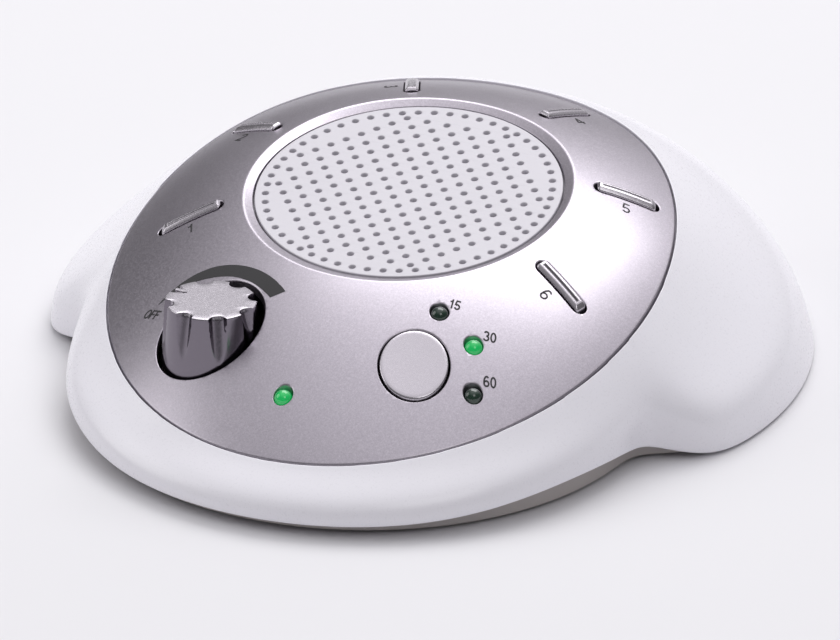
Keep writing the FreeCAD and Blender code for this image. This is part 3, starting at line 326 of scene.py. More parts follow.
@dataclass(frozen=True)
class Finish:
    """A finish drawn by nodes that read the object's own place; the lamp lens also reads the
    viewing angle, and some finishes carry painted shade in their colour.
    """

    name: str
    colour: str
    tint: str

    def blend(self, tree: Tree, share: Socket) -> Socket:
        """Colour that runs from the finish's colour to its tint."""
        return add_node(tree, "ShaderNodeMix",
                        {"data_type": "RGBA", 6: linear(self.colour), 7: linear(self.tint)},
                        {0: share}).outputs[2]

    def wire(self, tree: Tree, place: Socket) -> tuple[dict, dict]:
        """Adds the finish's own nodes.

        Args:
            tree: Node tree of the new material.
            place: Place on the object.

        Returns:
            Settings and links of the surface shader.
        """
        raise NotImplementedError

    def build(self) -> bpy.types.Material:
        """Material of this finish."""
        material = bpy.data.materials.new(self.name)
        material.use_nodes = True
        tree = material.node_tree
        tree.nodes.clear()
        place = add_node(tree, "ShaderNodeTexCoord").outputs["Object"]
        shader = add_node(tree, "ShaderNodeBsdfPrincipled", *self.wire(tree, place))
        add_node(tree, "ShaderNodeOutputMaterial", {}, {"Surface": shader.outputs["BSDF"]})
        return material


@dataclass(frozen=True)
class Moulding(Finish):
    """Plastic, rubber or board with a slow tint change and a fine moulded grain.

    The tint drifts over tens of millimetres, as moulded plastic does where it cooled
    unevenly, and the grain is the spark-eroded texture of the mould.
    """

    roughness: float
    drift_mm: float = 30.0
    grain_mm: float = 0.45
    grain_height_mm: float = 0.004
    roughness_spread: float = 0.05
    ior: float = 1.49
    coat: float = 0.0
    metallic: float = 0.0

    def wire(self, tree: Tree, place: Socket) -> tuple[dict, dict]:
        """Settings and links of the surface shader."""
        grain = noise(tree, place, self.grain_mm, 3.0, 0.6)
        drift = noise(tree, place, self.drift_mm, 2.0)
        rough = spread(tree, grain, target=(self.roughness - self.roughness_spread,
                                            self.roughness + self.roughness_spread))
        return ({"IOR": self.ior, "Coat Weight": self.coat, "Coat Roughness": 0.12,
                 "Metallic": self.metallic},
                {"Base Color": self.blend(tree, drift), "Roughness": rough,
                 "Normal": relief(tree, grain, self.grain_height_mm)})


@dataclass(frozen=True)
class FlakePaint(Finish):
    """Silver metallic paint over plastic: aluminium flakes in a clear binder.

    The flakes give a fine sparkle and the binder a soft gloss. A real flake is about
    0.03 mm across, too fine to show, so it is drawn at flake_mm.
    """

    roughness: float
    flake_mm: float = 0.18
    flake_height_mm: float = 0.0002
    coat: float = 0.1

    def wire(self, tree: Tree, place: Socket) -> tuple[dict, dict]:
        """Settings and links of the surface shader."""
        flakes = add_node(tree, "ShaderNodeTexVoronoi", {"Scale": 1000 / self.flake_mm},
                          {"Vector": place})
        grey = add_node(tree, "ShaderNodeRGBToBW", {}, {"Color": flakes.outputs["Color"]})
        cloud = noise(tree, place, self.flake_mm * 3, 4.0)
        mixed = maths(tree, "MULTIPLY", grey.outputs["Val"], cloud)
        rough = spread(tree, cloud, target=(self.roughness - 0.04, self.roughness + 0.06))
        return ({"Metallic": 1.0, "Coat Weight": self.coat, "Coat Roughness": 0.2},
                {"Base Color": self.blend(tree, spread(tree, mixed, (0.0, 0.6))),
                 "Roughness": rough,
                 "Normal": relief(tree, mixed, self.flake_height_mm, 0.6)})


@dataclass(frozen=True)
class TintedLens(Finish):
    """Green epoxy lamp lens, clear and glossy, with its glow set by strength and its rim
    darkened by the viewing angle as painted shade.
    """

    glow: float

    def wire(self, tree: Tree, place: Socket) -> tuple[dict, dict]:
        """Settings and links of the surface shader."""
        # Painted shade: colour and glow run towards the darker tint where the lens turns away
        # from the view.
        edge = add_node(tree, "ShaderNodeLayerWeight", {"Blend": 0.35}).outputs["Facing"]
        shade = maths(tree, "MULTIPLY_ADD", noise(tree, place, 2.5, 1.0), 0.3, edge)
        colour = self.blend(tree, shade)
        return ({"Roughness": 0.12, "IOR": 1.54, "Coat Weight": 0.6, "Coat Roughness": 0.03,
                 "Emission Strength": self.glow},
                {"Base Color": colour, "Emission Color": colour})


@dataclass(frozen=True)
class WovenScrim(Finish):
    """Plain-woven polyester cloth, its threads in the tint and its gaps in the colour."""

    thread_mm: float = 0.5

    def wire(self, tree: Tree, place: Socket) -> tuple[dict, dict]:
        """Settings and links of the surface shader."""
        weave = maths(tree, "MAXIMUM", *(
            add_node(tree, "ShaderNodeTexWave",
                     {"bands_direction": direction, "Distortion": 0.4,
                      "Scale": 1000 / self.thread_mm / 20 * math.pi},
                     {"Vector": place}).outputs["Fac"] for direction in ("X", "Y")))
        return ({"Roughness": 0.85, "Sheen Weight": 0.2},
                {"Base Color": self.blend(tree, weave), "Normal": relief(tree, weave, 0.1)})


SHELL_ABS = Moulding("ABS_gloss_moulded_white", "#f5f3f9", "#efedf4", 0.3,
                     drift_mm=45.0, grain_height_mm=0.002, coat=0.25)
PANEL_PAINT = FlakePaint("ABS_silver_flake_paint", "#a8a2ab", "#c0bac3", 0.34,
                         flake_height_mm=0.002, coat=0.15)
KEY_PAINT = FlakePaint("ABS_bright_silver_paint", "#b9b4bb", "#c0bbc2", 0.25)
# Darker copy of the knob's own silver paint for its side walls: painted shade, not a second
# finish.
KNOB_SIDE_PAINTED_SHADE = FlakePaint("ABS_silver_paint_painted_side_shade", "#79737c", "#807a83", 0.17)
GRILLE_ABS = Moulding("ABS_satin_moulded_grille", "#d4d1d8", "#cecbd2", 0.45,
                      grain_height_mm=0.002)
SCRIM = WovenScrim("polyester_scrim_woven", "#4c4b50", "#a8a6ae")
LENS_LIT = TintedLens("epoxy_green_lens_lit", "#0cae55", "#067a39", 0.55)
LENS_DARK = TintedLens("epoxy_green_lens_unlit", "#0b3322", "#06150f", 0.0)
# White base plastic darkened to taupe grey: painted shade of the underside and of the band
# under the shell's lower edge.
BASE_ABS_PAINTED_SHADE = Moulding("ABS_white_base_painted_shade", "#b9b3b0", "#aea8a6", 0.5, grain_height_mm=0.008)
FOOT_RUBBER = Moulding("nitrile_rubber_moulded_feet", "#57555a", "#4b494e", 0.75,
                       grain_mm=0.6, grain_height_mm=0.012)
STEEL = Moulding("steel_zinc_plated", "#b9b9bb", "#a2a2a6", 0.32, metallic=1.0,
                 drift_mm=4.0, grain_mm=0.3)
BLACK_ABS = Moulding("ABS_black_moulded", "#1f1f21", "#29292c", 0.45)
BOARD = Moulding("glass_epoxy_solder_mask", "#0e4a27", "#16603a", 0.35, drift_mm=3.0)
FERRITE = Moulding("ferrite_sintered_magnet", "#3a3a3d", "#47474a", 0.7, grain_mm=0.8)
CONE_PAPER = Moulding("paper_pressed_cone", "#1d1c1c", "#2a2929", 0.85, grain_mm=0.9,
                      grain_height_mm=0.03)
CELL_WRAP = Moulding("PVC_printed_cell_wrap", "#24507e", "#1c4069", 0.3, coat=0.4)
WIRE_PVC = Moulding("PVC_wire_sheath", "#a31f22", "#8a181c", 0.4)
INK = Moulding("screen_printed_ink_grey", "#2b2a2c", "#323133", 0.7, grain_mm=0.25)


class Paints:
    """Materials by finish, each built once."""

    made: dict[str, bpy.types.Material] = {}

    @classmethod
    def of(cls, finish: Finish) -> bpy.types.Material:
        """Material of a finish, built at its first use."""
        if finish.name not in cls.made:
            cls.made[finish.name] = finish.build()
        return cls.made[finish.name]


def dress(piece: Piece, finish: Finish) -> None:
    """Gives a piece one material all over."""
    piece.data.materials.clear()
    piece.data.materials.append(Paints.of(finish))


def hand_over(piece: Piece, body: str, node: str | None) -> None:
    """Tells the frame what a finished piece rides on and stands for.

    Args:
        piece: The finished object.
        body: Name of the body that it moves with.
        node: CAD node that it stands for, or None where it stands for none.
    """
    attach(piece, body)
    if node:
        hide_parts(node)
    LOG.info("%s on %s, %d faces", piece.name, body, len(piece.data.polygons))


# ---- Shapes shared by the sub-assemblies


@dataclass(frozen=True)
class Dome:
    """The control panel's face: an ellipse in plan, bulged and leaning forward."""

    half_width: float = 60.0
    half_depth: float = 68.5
    span: float = 60.0
    # Terms of the fitted height: factor, power across and power along
    terms: tuple[tuple[float, int, int], ...] = (
        (46.4, 0, 0), (12.6, 0, 1), (-12.5, 0, 2), (-13.1, 2, 0), (2.9, 2, 1),
        (-4.2, 4, 0), (-1.7, 0, 4), (-4.1, 2, 2))

    def at(self, x: float, y: float) -> float:
        """Height of the face above the table."""
        u, v = x / self.span, y / self.span
        return sum(factor * u ** i * v ** j for factor, i, j in self.terms)

    def on(self, x: float, y: float, lift: float = 0.0) -> Point:
        """Point on the face, or lifted off it."""
        return x, y, self.at(x, y) + lift

    def reach(self, centre_y: float, angle: float, grow: float = 0.0) -> float:
        """Distance from a point on the middle line to the ellipse, along an angle."""
        a, b = self.half_width + grow, self.half_depth + grow
        dx, dy = math.cos(angle), math.sin(angle)
        p = dx * dx / a ** 2 + dy * dy / b ** 2
        q = centre_y * dy / b ** 2
        r = centre_y ** 2 / b ** 2 - 1
        return (-q + math.sqrt(q * q - p * r)) / p


DOME = Dome()


@dataclass(frozen=True)
class GrilleSeat:
    """Tilted seat of the speaker grille."""

    y: float = 9.4
    z: float = 42.4
    tilt: float = 8.4
    radius: float = 33.5
    throat: float = 33.9
    brim: float = 36.8
    rise: float = 1.0
    throat_top: float = -0.2

    def place(self, x: float, y: float, z: float) -> Point:
        """Point given in the seat's own frame, in the panel's frame."""
        c, s = polar(self.tilt)
        return x, self.y + y * c - z * s, self.z + y * s + z * c

    def cone(self, angle: float, radius: float) -> Point:
        """Point of the chamfered ring at a radius."""
        share = (radius - self.throat) / (self.brim - self.throat)
        height = self.throat_top + share * (self.rise - self.throat_top)
        return self.place(radius * math.cos(angle), radius * math.sin(angle), height)

    def edge(self, angle: float) -> Point:
        """Point at which the ring's cone runs out into the panel's face."""
        low, high = self.throat + 0.3, self.brim + 3.0
        for _ in range(30):
            middle = (low + high) / 2
            x, y, z = self.cone(angle, middle)
            if z < DOME.at(x, y):
                low = middle
            else:
                high = middle
        return self.cone(angle, min(low, self.brim))


SEAT = GrilleSeat()


def posed(flat: Sequence[Flat], x: float, y: float, angle: float) -> list[Flat]:
    """Plan points turned by an angle in degrees and moved to a place."""
    c, s = polar(angle)
    return [(x + c * px - s * py, y + s * px + c * py) for px, py in flat]


def circle_outline(x: float, y: float, radius: float, steps: int) -> Outline:
    """Closed circle as a function of how far it is offset outwards."""
    return lambda grow: posed([polar(360 * i / steps, radius + grow)
                               for i in range(steps + 1)], x, y, 0)


def block_outline(x: float, y: float, angle: float, length: float, width: float,
                  corner: float, arc_steps: int = 5, run_steps: int = 10) -> Outline:
    """Closed rectangle with rounded corners as a function of its offset outwards.

    Args:
        x: Middle of the rectangle across the panel.
        y: Middle of the rectangle along the panel.
        angle: Direction of its length in degrees.
        length: Whole length.
        width: Whole width.
        corner: Radius of its corners. Half the width makes a bar with round ends.
        arc_steps: Spans in each corner.
        run_steps: Spans in each long side.

    Returns:
        Function from an offset to the outline's points.
    """
    def points(grow: float) -> list[Flat]:
        """Points of the rectangle, the first repeated at the end."""
        half_x, half_y = length / 2 + grow, max(width / 2 + grow, 0.0)
        radius = min(max(corner + grow, 0.05), half_y)
        flat = []
        for side in (1, -1):
            for end, start in ((-1, -90), (1, 0)):
                for i in range(arc_steps + 1):
                    px, py = polar(start + 90 * i / arc_steps, radius)
                    flat.append((side * (half_x - radius + px),
                                 side * (end * (half_y - radius) + py)))
            run = 2 * (half_x - radius)
            flat += [(side * (half_x - radius - run * i / run_steps), side * half_y)
                     for i in range(1, run_steps)]
        return posed(flat + flat[:1], x, y, angle)
    return points


def column(name: str, outline: Outline, levels: Sequence[tuple[float, float, bool]]) -> Piece:
    """Closed piece built up from one outline, level by level.

    Args:
        name: Name of the new object.
        outline: Outline as a function of its offset.
        levels: Offset, height, and True where the height counts from the dome.

    Returns:
        The new object, with its two ends closed at their middles.
    """
    rows = [[(x, y, (DOME.at(x, y) if follows else 0.0) + height) for x, y in outline(grow)]
            for grow, height, follows in levels]
    ends = [[tuple(float(v) for v in np.mean(np.array(row[:-1]), axis=0))] * len(row)
            for row in (rows[0], rows[-1])]
    return loft(name, [ends[0]] + rows + [ends[1]])


def flared_tool(outline: Outline, lip: float, low: float = 1.0, over: float = 4.0,
                flare: float = 1.15) -> Piece:
    """Cutter for a hole of the panel, flared so that the hole's edge comes out round.

    Args:
        outline: Outline of the hole.
        lip: Radius of the hole's rounded edge.
        low: Height of the cutter's foot above the table.
        over: Height of its top above the panel's face.
        flare: Growth of its top, as a multiple of the lip.

    Returns:
        The cutter.
    """
    levels = [(0.0, low, False)]
    levels += [(inset, rise - lip, True) for inset, rise in quarter(lip, (0, 25, 50, 72))]
    levels += [(lip * flare, 0.12 * lip, True), (lip * flare, over, True)]
    return column("hole_tool", outline, levels)


def stem(x: float, y: float, low: float, high: float, radius: float = 1.6) -> Piece:
    """Round push rod under a button."""
    return turned("stem", [(0, low), (radius, low), (radius, high), (0, high)], (x, y), 24)


# ---- Sub-assemblies


@dataclass
class OuterShell:
    """White winged shell round the panel, as a closed skin with its wall."""

    wing_radius: float = 83.8
    wing_y: float = 20.6
    belly_radius: float = 65.3
    belly_y: float = -13.1
    foot_angle: float = -8.5
    foot_blend: float = 2.2
    wall: float = 2.4
    gap: float = 0.4
    ledge: float = 2.2
    pocket: float = 2.3
    rim_inset: float = 0.6
    rim_lift: float = 0.3
    rim_side_lift: float = 0.4
    rim_slope: float = 0.4
    rim_round: float = 0.35
    edge_round: float = 0.5
    inner_drop: float = 4.2
    belly_edge: float = 3.1
    wing_edge: float = 0.6
    arch_rise: float = 3.4
    arch_angle: float = -30.6
    arch_width: float = 23.3
    inlet_radius: float = 5.4
    inlet_y: float = 88.0
    inlet_z: float = 9.0
    inlet_cut: float = 30.0
    slopes_rim: Point = (45.0, 50.2, 8.0)
    slopes_foot: Point = (100.0, 87.0, 62.0)
    reach_rim: Point = (0.35, 0.77, 0.2)
    reach_foot: Point = (0.4, 0.35, 0.45)
    skin_spans: int = 30
    inner_spans: int = 12

    def wing_share(self, angle: float) -> float:
        """0 on the belly and 1 on the wings, for a plan angle in degrees."""
        return 1 / (1 + math.exp(-(angle - self.foot_angle) / self.foot_blend))

    def outline(self, angle: float, inset: float) -> Flat:
        """Lower outline in plan at an angle in degrees."""
        dx, dy = polar(angle)
        reaches = []
        for radius, middle in ((self.belly_radius - inset, self.belly_y),
                               (self.wing_radius - inset, self.wing_y)):
            along = dy * middle
            reaches.append(along + math.sqrt(along ** 2 - middle ** 2 + radius ** 2))
        share = self.wing_share(angle)
        reach = reaches[0] * (1 - share) + reaches[1] * share
        return reach * dx, reach * dy

    def edge_height(self, angle: float) -> float:
        """Height of the lower edge: low at the wings and raised at the arches."""
        share = self.wing_share(angle)
        arch = self.arch_rise * math.exp(-((angle - self.arch_angle) / self.arch_width) ** 2)
        return (self.belly_edge + arch) * (1 - share) + self.wing_edge * share

    @staticmethod
    def between(values: Point, turn: float) -> float:
        """Value between the front, side and rear ones."""
        front, side, rear = values
        return side + ((rear if turn > 0 else front) - side) * math.sin(turn) ** 2

    def skin(self, turn: float, inset: float, drop: float, wall: float) -> list[Vector]:
        """Points down one skin, from the rim to the lower edge."""
        x = (DOME.half_width - inset) * math.cos(turn)
        y = (DOME.half_depth - inset) * math.sin(turn)
        lift = self.rim_lift + self.rim_side_lift * math.cos(turn) ** 2
        rim = Vector((x, y, DOME.at(x, y) + lift - drop))
        angle = math.degrees(math.atan2(y, x))
        edge = Vector((*self.outline(angle, wall), self.edge_height(angle)))
        out = Vector((edge.x - x, edge.y - y, 0)).normalized()
        reach = (edge - rim).length
        a_out, a_down = polar(self.between(self.slopes_rim, turn))
        b_out, b_up = polar(self.between(self.slopes_foot, turn))
        up = Vector((0, 0, 1))
        near = rim + (out * a_out - up * a_down) * reach * self.between(self.reach_rim, turn)
        far = edge + (up * b_up - out * b_out) * reach * self.between(self.reach_foot, turn)
        spans = self.skin_spans * 4
        return [rim * (1 - s) ** 3 + near * (3 * (1 - s) ** 2 * s)
                + far * (3 * (1 - s) * s * s) + edge * s ** 3
                for s in (i / spans for i in range(spans + 1))]

    def section(self, turn: float) -> list[Point]:
        """Closed section of the wall at one place round the panel."""
        outer = self.skin(turn, self.rim_inset, 0.0, 0.0)
        a, b = DOME.half_width + self.gap, DOME.half_depth + self.gap
        outer = [p for p in outer if (p.x / a) ** 2 + (p.y / b) ** 2 > 1.0]
        start = Vector((a * math.cos(turn), b * math.sin(turn), 0))
        start.z = outer[0].z + (outer[0].xy - start.xy).length * self.rim_slope
        picked = [outer[round(i * (len(outer) - 1) / self.skin_spans)]
                  for i in range(1, self.skin_spans + 1)]
        inner = self.skin(turn, self.ledge, self.inner_drop, self.wall)
        below = [inner[round(i * (len(inner) - 1) / self.inner_spans)]
                 for i in range(self.inner_spans, -1, -1)]
        shelf = DOME.at(start.x, start.y) - self.pocket
        floor = (start.x, start.y, shelf)
        ledge = (inner[0].x, inner[0].y, DOME.at(inner[0].x, inner[0].y) - self.pocket)
        points = eased(floor, tuple(start), tuple(picked[1]), self.rim_round)
        points += [tuple(p) for p in picked[1:-1]]
        points += eased(tuple(picked[-2]), tuple(picked[-1]), tuple(below[0]), self.edge_round)
        points += [tuple(p) for p in below] + [ledge, floor, points[0]]
        return points

    def build(self) -> None:
        """Models the shell, cuts its inlet and dresses it."""
        turns = np.radians(np.concatenate([
            np.arange(-90, -30, 1.5), np.arange(-30, 8, 0.5), np.arange(8, 90.1, 1.64)]))
        right = [self.section(float(turn)) for turn in turns]
        right[0] = [(0.0, y, z) for _, y, z in right[0]]
        right[-1] = [(0.0, y, z) for _, y, z in right[-1]]
        left = [[(-x, y, z) for x, y, z in row] for row in reversed(right)]
        shell = loft("shell_wing_white", right + left[1:])
        deselect()
        bpy.ops.mesh.primitive_cylinder_add(
            vertices=64, radius=self.inlet_radius * MM, depth=self.inlet_cut * MM,
            location=in_metres((0, self.inlet_y + self.inlet_cut / 2, self.inlet_z)),
            rotation=(math.pi / 2, 0, 0))
        carve(shell, [bpy.context.object])
        smooth(shell)
        dress(shell, SHELL_ABS)
        hand_over(shell, Body.HOUSING.value, "outer_shell")


@dataclass
class ControlPanel:
    """Silver domed panel with the grille's ring and the holes of the controls."""

    wall: float = 2.0
    edge_round: float = 0.3
    ring_round: float = 0.45
    around: int = 288
    across: int = 34
    under: int = 9
    knob_hole: float = 11.7
    timer_hole: float = 7.85
    lamp_hole: float = 2.1
    slot_length: float = 14.2
    slot_width: float = 3.6

    def section(self, angle: float) -> list[Point]:
        """Closed section of the panel's wall along one ray from the grille."""
        bottom = SEAT.place(SEAT.throat * math.cos(angle), SEAT.throat * math.sin(angle), -1.5)
        foot = SEAT.cone(angle, SEAT.throat)
        ring = SEAT.edge(angle)
        reach = DOME.reach(SEAT.y, angle)
        end = (reach * math.cos(angle), SEAT.y + reach * math.sin(angle))

        def along(share: float, lift: float = 0.0) -> Point:
            """Point of the face at a share of the way from the ring to the rim."""
            return DOME.on(ring[0] + (end[0] - ring[0]) * share,
                           ring[1] + (end[1] - ring[1]) * share, lift)
        face = [along(i / self.across) for i in range(1, self.across)]
        rim_low = DOME.on(*end, -self.wall)
        points = eased(bottom, foot, ring, 0.12, 2)
        points += eased(foot, DOME.on(*ring[:2]), face[0], self.ring_round)
        points += face[1:]
        points += eased(face[-1], DOME.on(*end), rim_low, self.edge_round)
        points += [rim_low] + [along(1 - i / self.under, -self.wall)
                               for i in range(1, self.under)]
        return points + [bottom, points[0]]

    def build(self, sound_spots: Sequence[Point], lamp_spots: Sequence[Flat]) -> None:
        """Models the panel and cuts its holes.

        Args:
            sound_spots: Place and direction of each sound button's slot.
            lamp_spots: Place of each lamp's hole.
        """
        rows = [self.section(2 * math.pi * i / self.around) for i in range(self.around + 1)]
        panel = loft("panel_face_silver", rows)
        holes = [(circle_outline(*KNOB_AT, self.knob_hole, 96), 0.35),
                 (circle_outline(*TIMER_AT, self.timer_hole, 80), 0.3)]
        holes += [(circle_outline(x, y, self.lamp_hole, 40), 0.3) for x, y in lamp_spots]
        holes += [(block_outline(x, y, a, self.slot_length, self.slot_width,
                                 self.slot_width / 2, 6), 0.25) for x, y, a in sound_spots]
        carve(panel, [flared_tool(outline, lip) for outline, lip in holes])
        smooth(panel, 40)
        dress(panel, PANEL_PAINT)
        hand_over(panel, Body.HOUSING.value, "faceplate")


@dataclass
class SpeakerGrille:
    """Flat perforated disc with its skirt, in its tilted seat."""

    plate: float = 1.6
    edge: float = 0.24
    hole_radius: float = 0.75
    ring_radius: float = 31.2
    ring_count: int = 56
    pitch_x: float = 4.7
    pitch_y: float = 2.96
    field_radius: float = 29.2
    disc_spans: int = 24
    hole_spans: int = 5
    handle: float = 0.5523
    skirt: tuple[Flat, ...] = ((31.9, -1.6), (31.9, -3.2), (37.5, -3.2), (37.5, -2.1),
                               (33.5, -2.1), (33.5, -1.5), (31.9, -1.6))

    def holes(self) -> list[Flat]:
        """Centres of the holes: one ring, and staggered rows inside it."""
        spots = [polar(360 * i / self.ring_count, self.ring_radius)
                 for i in range(self.ring_count)]
        rows = int(self.field_radius / self.pitch_y)
        columns = int(self.field_radius / self.pitch_x) + 1
        for row in range(-rows, rows + 1):
            shift = self.pitch_x / 2 if row % 2 else 0.0
            for number in range(-columns, columns + 1):
                x, y = number * self.pitch_x + shift, row * self.pitch_y
                if math.hypot(x, y) <= self.field_radius:
                    spots.append((x, y))
        return spots

    def plate_mesh(self) -> Piece:
        """Perforated plate from one filled flat curve, its edges rounded by the curve."""
        deselect()
        bpy.ops.curve.primitive_bezier_circle_add(radius=SEAT.radius * MM)
        bpy.context.object.name = "grille_disc_white"
        curve = bpy.context.object.data
        curve.dimensions = "2D"
        curve.fill_mode = "BOTH"
        curve.resolution_u = self.disc_spans
        for x, y in self.holes():
            spline = curve.splines.new("BEZIER")
            spline.bezier_points.add(3)
            spline.use_cyclic_u = True
            spline.resolution_u = self.hole_spans
            for i, point in enumerate(spline.bezier_points):
                c, s = polar(90 * i, self.hole_radius * MM)
                point.co = Vector((x * MM + c, y * MM + s, 0))
                arm = Vector((s, -c, 0)) * self.handle
                point.handle_left, point.handle_right = point.co + arm, point.co - arm
        curve.splines[0].resolution_u = self.disc_spans
        curve.extrude = (self.plate / 2 - self.edge) * MM
        curve.bevel_depth = self.edge * MM
        curve.bevel_resolution = 2
        curve.offset = -self.edge * MM
        bpy.ops.object.convert(target="MESH")
        plate = bpy.context.object
        plate.data.transform(Matrix.Translation(in_metres((0, SEAT.y, SEAT.z)))
                             @ Matrix.Rotation(math.radians(SEAT.tilt), 4, "X")
                             @ Matrix.Translation((0, 0, -self.plate / 2 * MM)))
        close_skin(plate)
        return plate

    def build(self) -> None:
        """Models the disc and the skirt under it."""
        plate = self.plate_mesh()
        rows = [[SEAT.place(*polar(360 * i / 96, r), z) for r, z in self.skirt]
                for i in range(97)]
        grille = join([plate, loft("grille_skirt", rows)])
        smooth(grille)
        dress(grille, GRILLE_ABS)
        hand_over(grille, Body.HOUSING.value, "speaker_grille")


@dataclass
class VolumeKnob:
    """Round knob with eight tapered flutes and a raised pointer, its steep side walls in a
    darker copy of its paint as painted shade.
    """

    x: float = KNOB_AT[0]
    y: float = KNOB_AT[1]
    top: float = 34.4
    bottom: float = 17.6
    top_radius: float = 9.95
    base_radius: float = 10.9
    edge: float = 0.25
    flutes: int = 8
    flute_turn: float = -12.4
    flute_radius: float = 2.0
    flute_depth: float = 1.8
    flute_length: float = 10.5
    soft: float = 0.09
    well_radius: float = 7.0
    well_depth: float = 3.2
    pointer_turn: float = 168.0
    pointer_reach: float = 7.9
    # Length, width and height above the knob's top
    pointer_size: Point = (3.0, 0.8, 0.24)
    steps_per_flute: int = 44
    wall_spans: int = 36
    # Faces whose normal rises less than this take the darker painted-shade copy of the paint.
    side_normal: float = 0.3

    def wall_radius(self, down: float) -> float:
        """Radius of the plain wall at a depth below the top."""
        share = down / (self.top - self.bottom)
        return self.top_radius + (self.base_radius - self.top_radius) * share

    def fluted(self, turn: float, down: float) -> float:
        """Radius of the wall at an angle in radians, with the flutes taken out."""
        radius = self.wall_radius(down)
        pitch = 2 * math.pi / self.flutes
        off = (turn - math.radians(self.flute_turn) + pitch / 2) % pitch - pitch / 2
        start = self.top_radius - self.flute_depth + self.flute_radius
        lean = (self.wall_radius(self.flute_length) + self.flute_radius - start)
        centre = start + lean * down / self.flute_length
        reach = self.flute_radius ** 2 - (centre * math.sin(off)) ** 2
        if reach <= 0:
            return radius
        near = centre * math.cos(off) - math.sqrt(reach)
        gap = radius - near
        return radius - (gap + math.sqrt(gap * gap + self.soft ** 2)) / 2

    def build(self) -> None:
        """Models the knob and its pointer."""
        steps = self.flutes * self.steps_per_flute
        turns = [2 * math.pi * i / steps for i in range(steps + 1)]
        depth = self.top - self.bottom
        rows = [[(self.x, self.y, self.top)] * (steps + 1)]
        rows += [[self.spot(t, share * (self.fluted(t, 0) - self.edge), 0.0) for t in turns]
                 for share in (0.3, 0.6, 0.8)]
        rows += [[self.spot(t, self.fluted(t, 0) - inset, self.edge - rise) for t in turns]
                 for inset, rise in quarter(self.edge, (90, 68, 45, 22, 0))]
        for i in range(1, self.wall_spans + 1):
            down = self.edge + (depth - self.edge) * i / self.wall_spans
            rows.append([self.spot(t, self.fluted(t, down), down) for t in turns])
        for radius, down in ((self.base_radius - 1.6, depth),
                             (self.well_radius, self.well_depth), (0.0, 3.0)):
            rows.append([self.spot(t, radius, down) for t in turns])
        knob = loft("volume_knob_fluted", rows)
        x, y = polar(self.pointer_turn, self.pointer_reach)
        length, width, proud = self.pointer_size
        pointer = column("pointer", block_outline(
            self.x + x, self.y + y, self.pointer_turn, length, width, width / 2, 4, 4), [
                (0, self.top - 0.3, False), (0, self.top + proud / 2, False),
                (-proud / 2, self.top + proud, False)])
        knob = join([knob, pointer])
        smooth(knob, 40, weighted=False)
        dress(knob, KEY_PAINT)
        # The steep side walls and flute walls get the darker copy of the same paint: painted
        # shade.
        knob.data.materials.append(Paints.of(KNOB_SIDE_PAINTED_SHADE))
        for face in knob.data.polygons:
            face.material_index = int(face.normal.z < self.side_normal)
        hand_over(knob, Body.VOLUME.value, "volume_knob")

    def spot(self, turn: float, radius: float, down: float) -> Point:
        """Point of the knob at an angle, a radius and a depth below its top."""
        return (self.x + radius * math.cos(turn), self.y + radius * math.sin(turn),
                self.top - down)


@dataclass
class TimerButton:
    """Round push button with a slightly dished face."""

    radius: float = 7.4
    proud: float = 0.3
    dish: float = 0.3
    edge: float = 0.35
    low: float = 19.0
    stem_low: float = 14.0

    def build(self) -> None:
        """Models the cap, its flange and its stem."""
        levels = [(1.5, self.low, False), (1.5, self.low + 1, False),
                  (0.0, self.low + 1, False), (0.0, self.proud - self.edge * 1.5, True)]
        levels += [(-inset, self.proud - self.edge + rise, True)
                   for inset, rise in quarter(self.edge, (0, 20, 40, 60, 80))]
        inner = self.radius - self.edge
        levels += [(-self.edge - inner * (1 - share),
                    self.proud - self.dish * (1 - share ** 2), True)
                   for share in (0.92, 0.8, 0.65, 0.5, 0.35, 0.18)]
        cap = column("timer_cap_silver", circle_outline(*TIMER_AT, self.radius, 80), levels)
        cap = join([cap, stem(*TIMER_AT, self.stem_low, self.low + 0.3)])
        smooth(cap)
        dress(cap, KEY_PAINT)
        hand_over(cap, Body.TIMER.value, "timer_button")


@dataclass
class SoundButtons:
    """Six bars on a circle about the grille, each chamfered all round its top."""

    circle: float = 47.2
    angles: tuple[float, ...] = (202.5, 157.5, 112.5, 67.5, 22.5, -22.5)
    length: float = 12.6
    width: float = 3.0
    corner: float = 0.7
    proud: float = 0.9
    chamfer: float = 0.62
    depth: float = 4.2
    # Growth and rise of the bar's upper edge, as multiples of the chamfer
    edge: tuple[Flat, ...] = ((0.0, -1.3), (-0.02 / 0.62, -1.0), (-0.1 / 0.62, -0.8),
                              (-0.85, -0.12), (-1.05, 0.0))

    def spots(self) -> list[Point]:
        """Place and direction of each bar."""
        return [(x, SEAT.y + y, a) for a in self.angles for x, y in [polar(a, self.circle)]]

    def build(self) -> None:
        """Models each bar at its place."""
        c, top = self.chamfer, self.proud
        for number, (x, y, angle) in enumerate(self.spots(), 1):
            node = f"sound_button_{number}"
            low = min(DOME.at(x + dx, y + dy) for dx in (-7, 0, 7) for dy in (-7, 0, 7))
            low -= self.depth
            levels = [(1.0, low, False), (1.0, low + 1, False), (0.0, low + 1, False)]
            levels += [(c * grow, top + c * rise, True) for grow, rise in self.edge]
            levels += [(-c * 1.5, top + 0.03, True), (-self.width / 2, top + 0.04, True)]
            bar = column(f"sound_bar_{number}", block_outline(
                x, y, angle, self.length, self.width, self.corner), levels)
            bar = join([bar, stem(x, y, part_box(node)[0].z / MM, low + 0.3)])
            smooth(bar, 28)
            dress(bar, KEY_PAINT)
            hand_over(bar, f"sound_{number}", node)


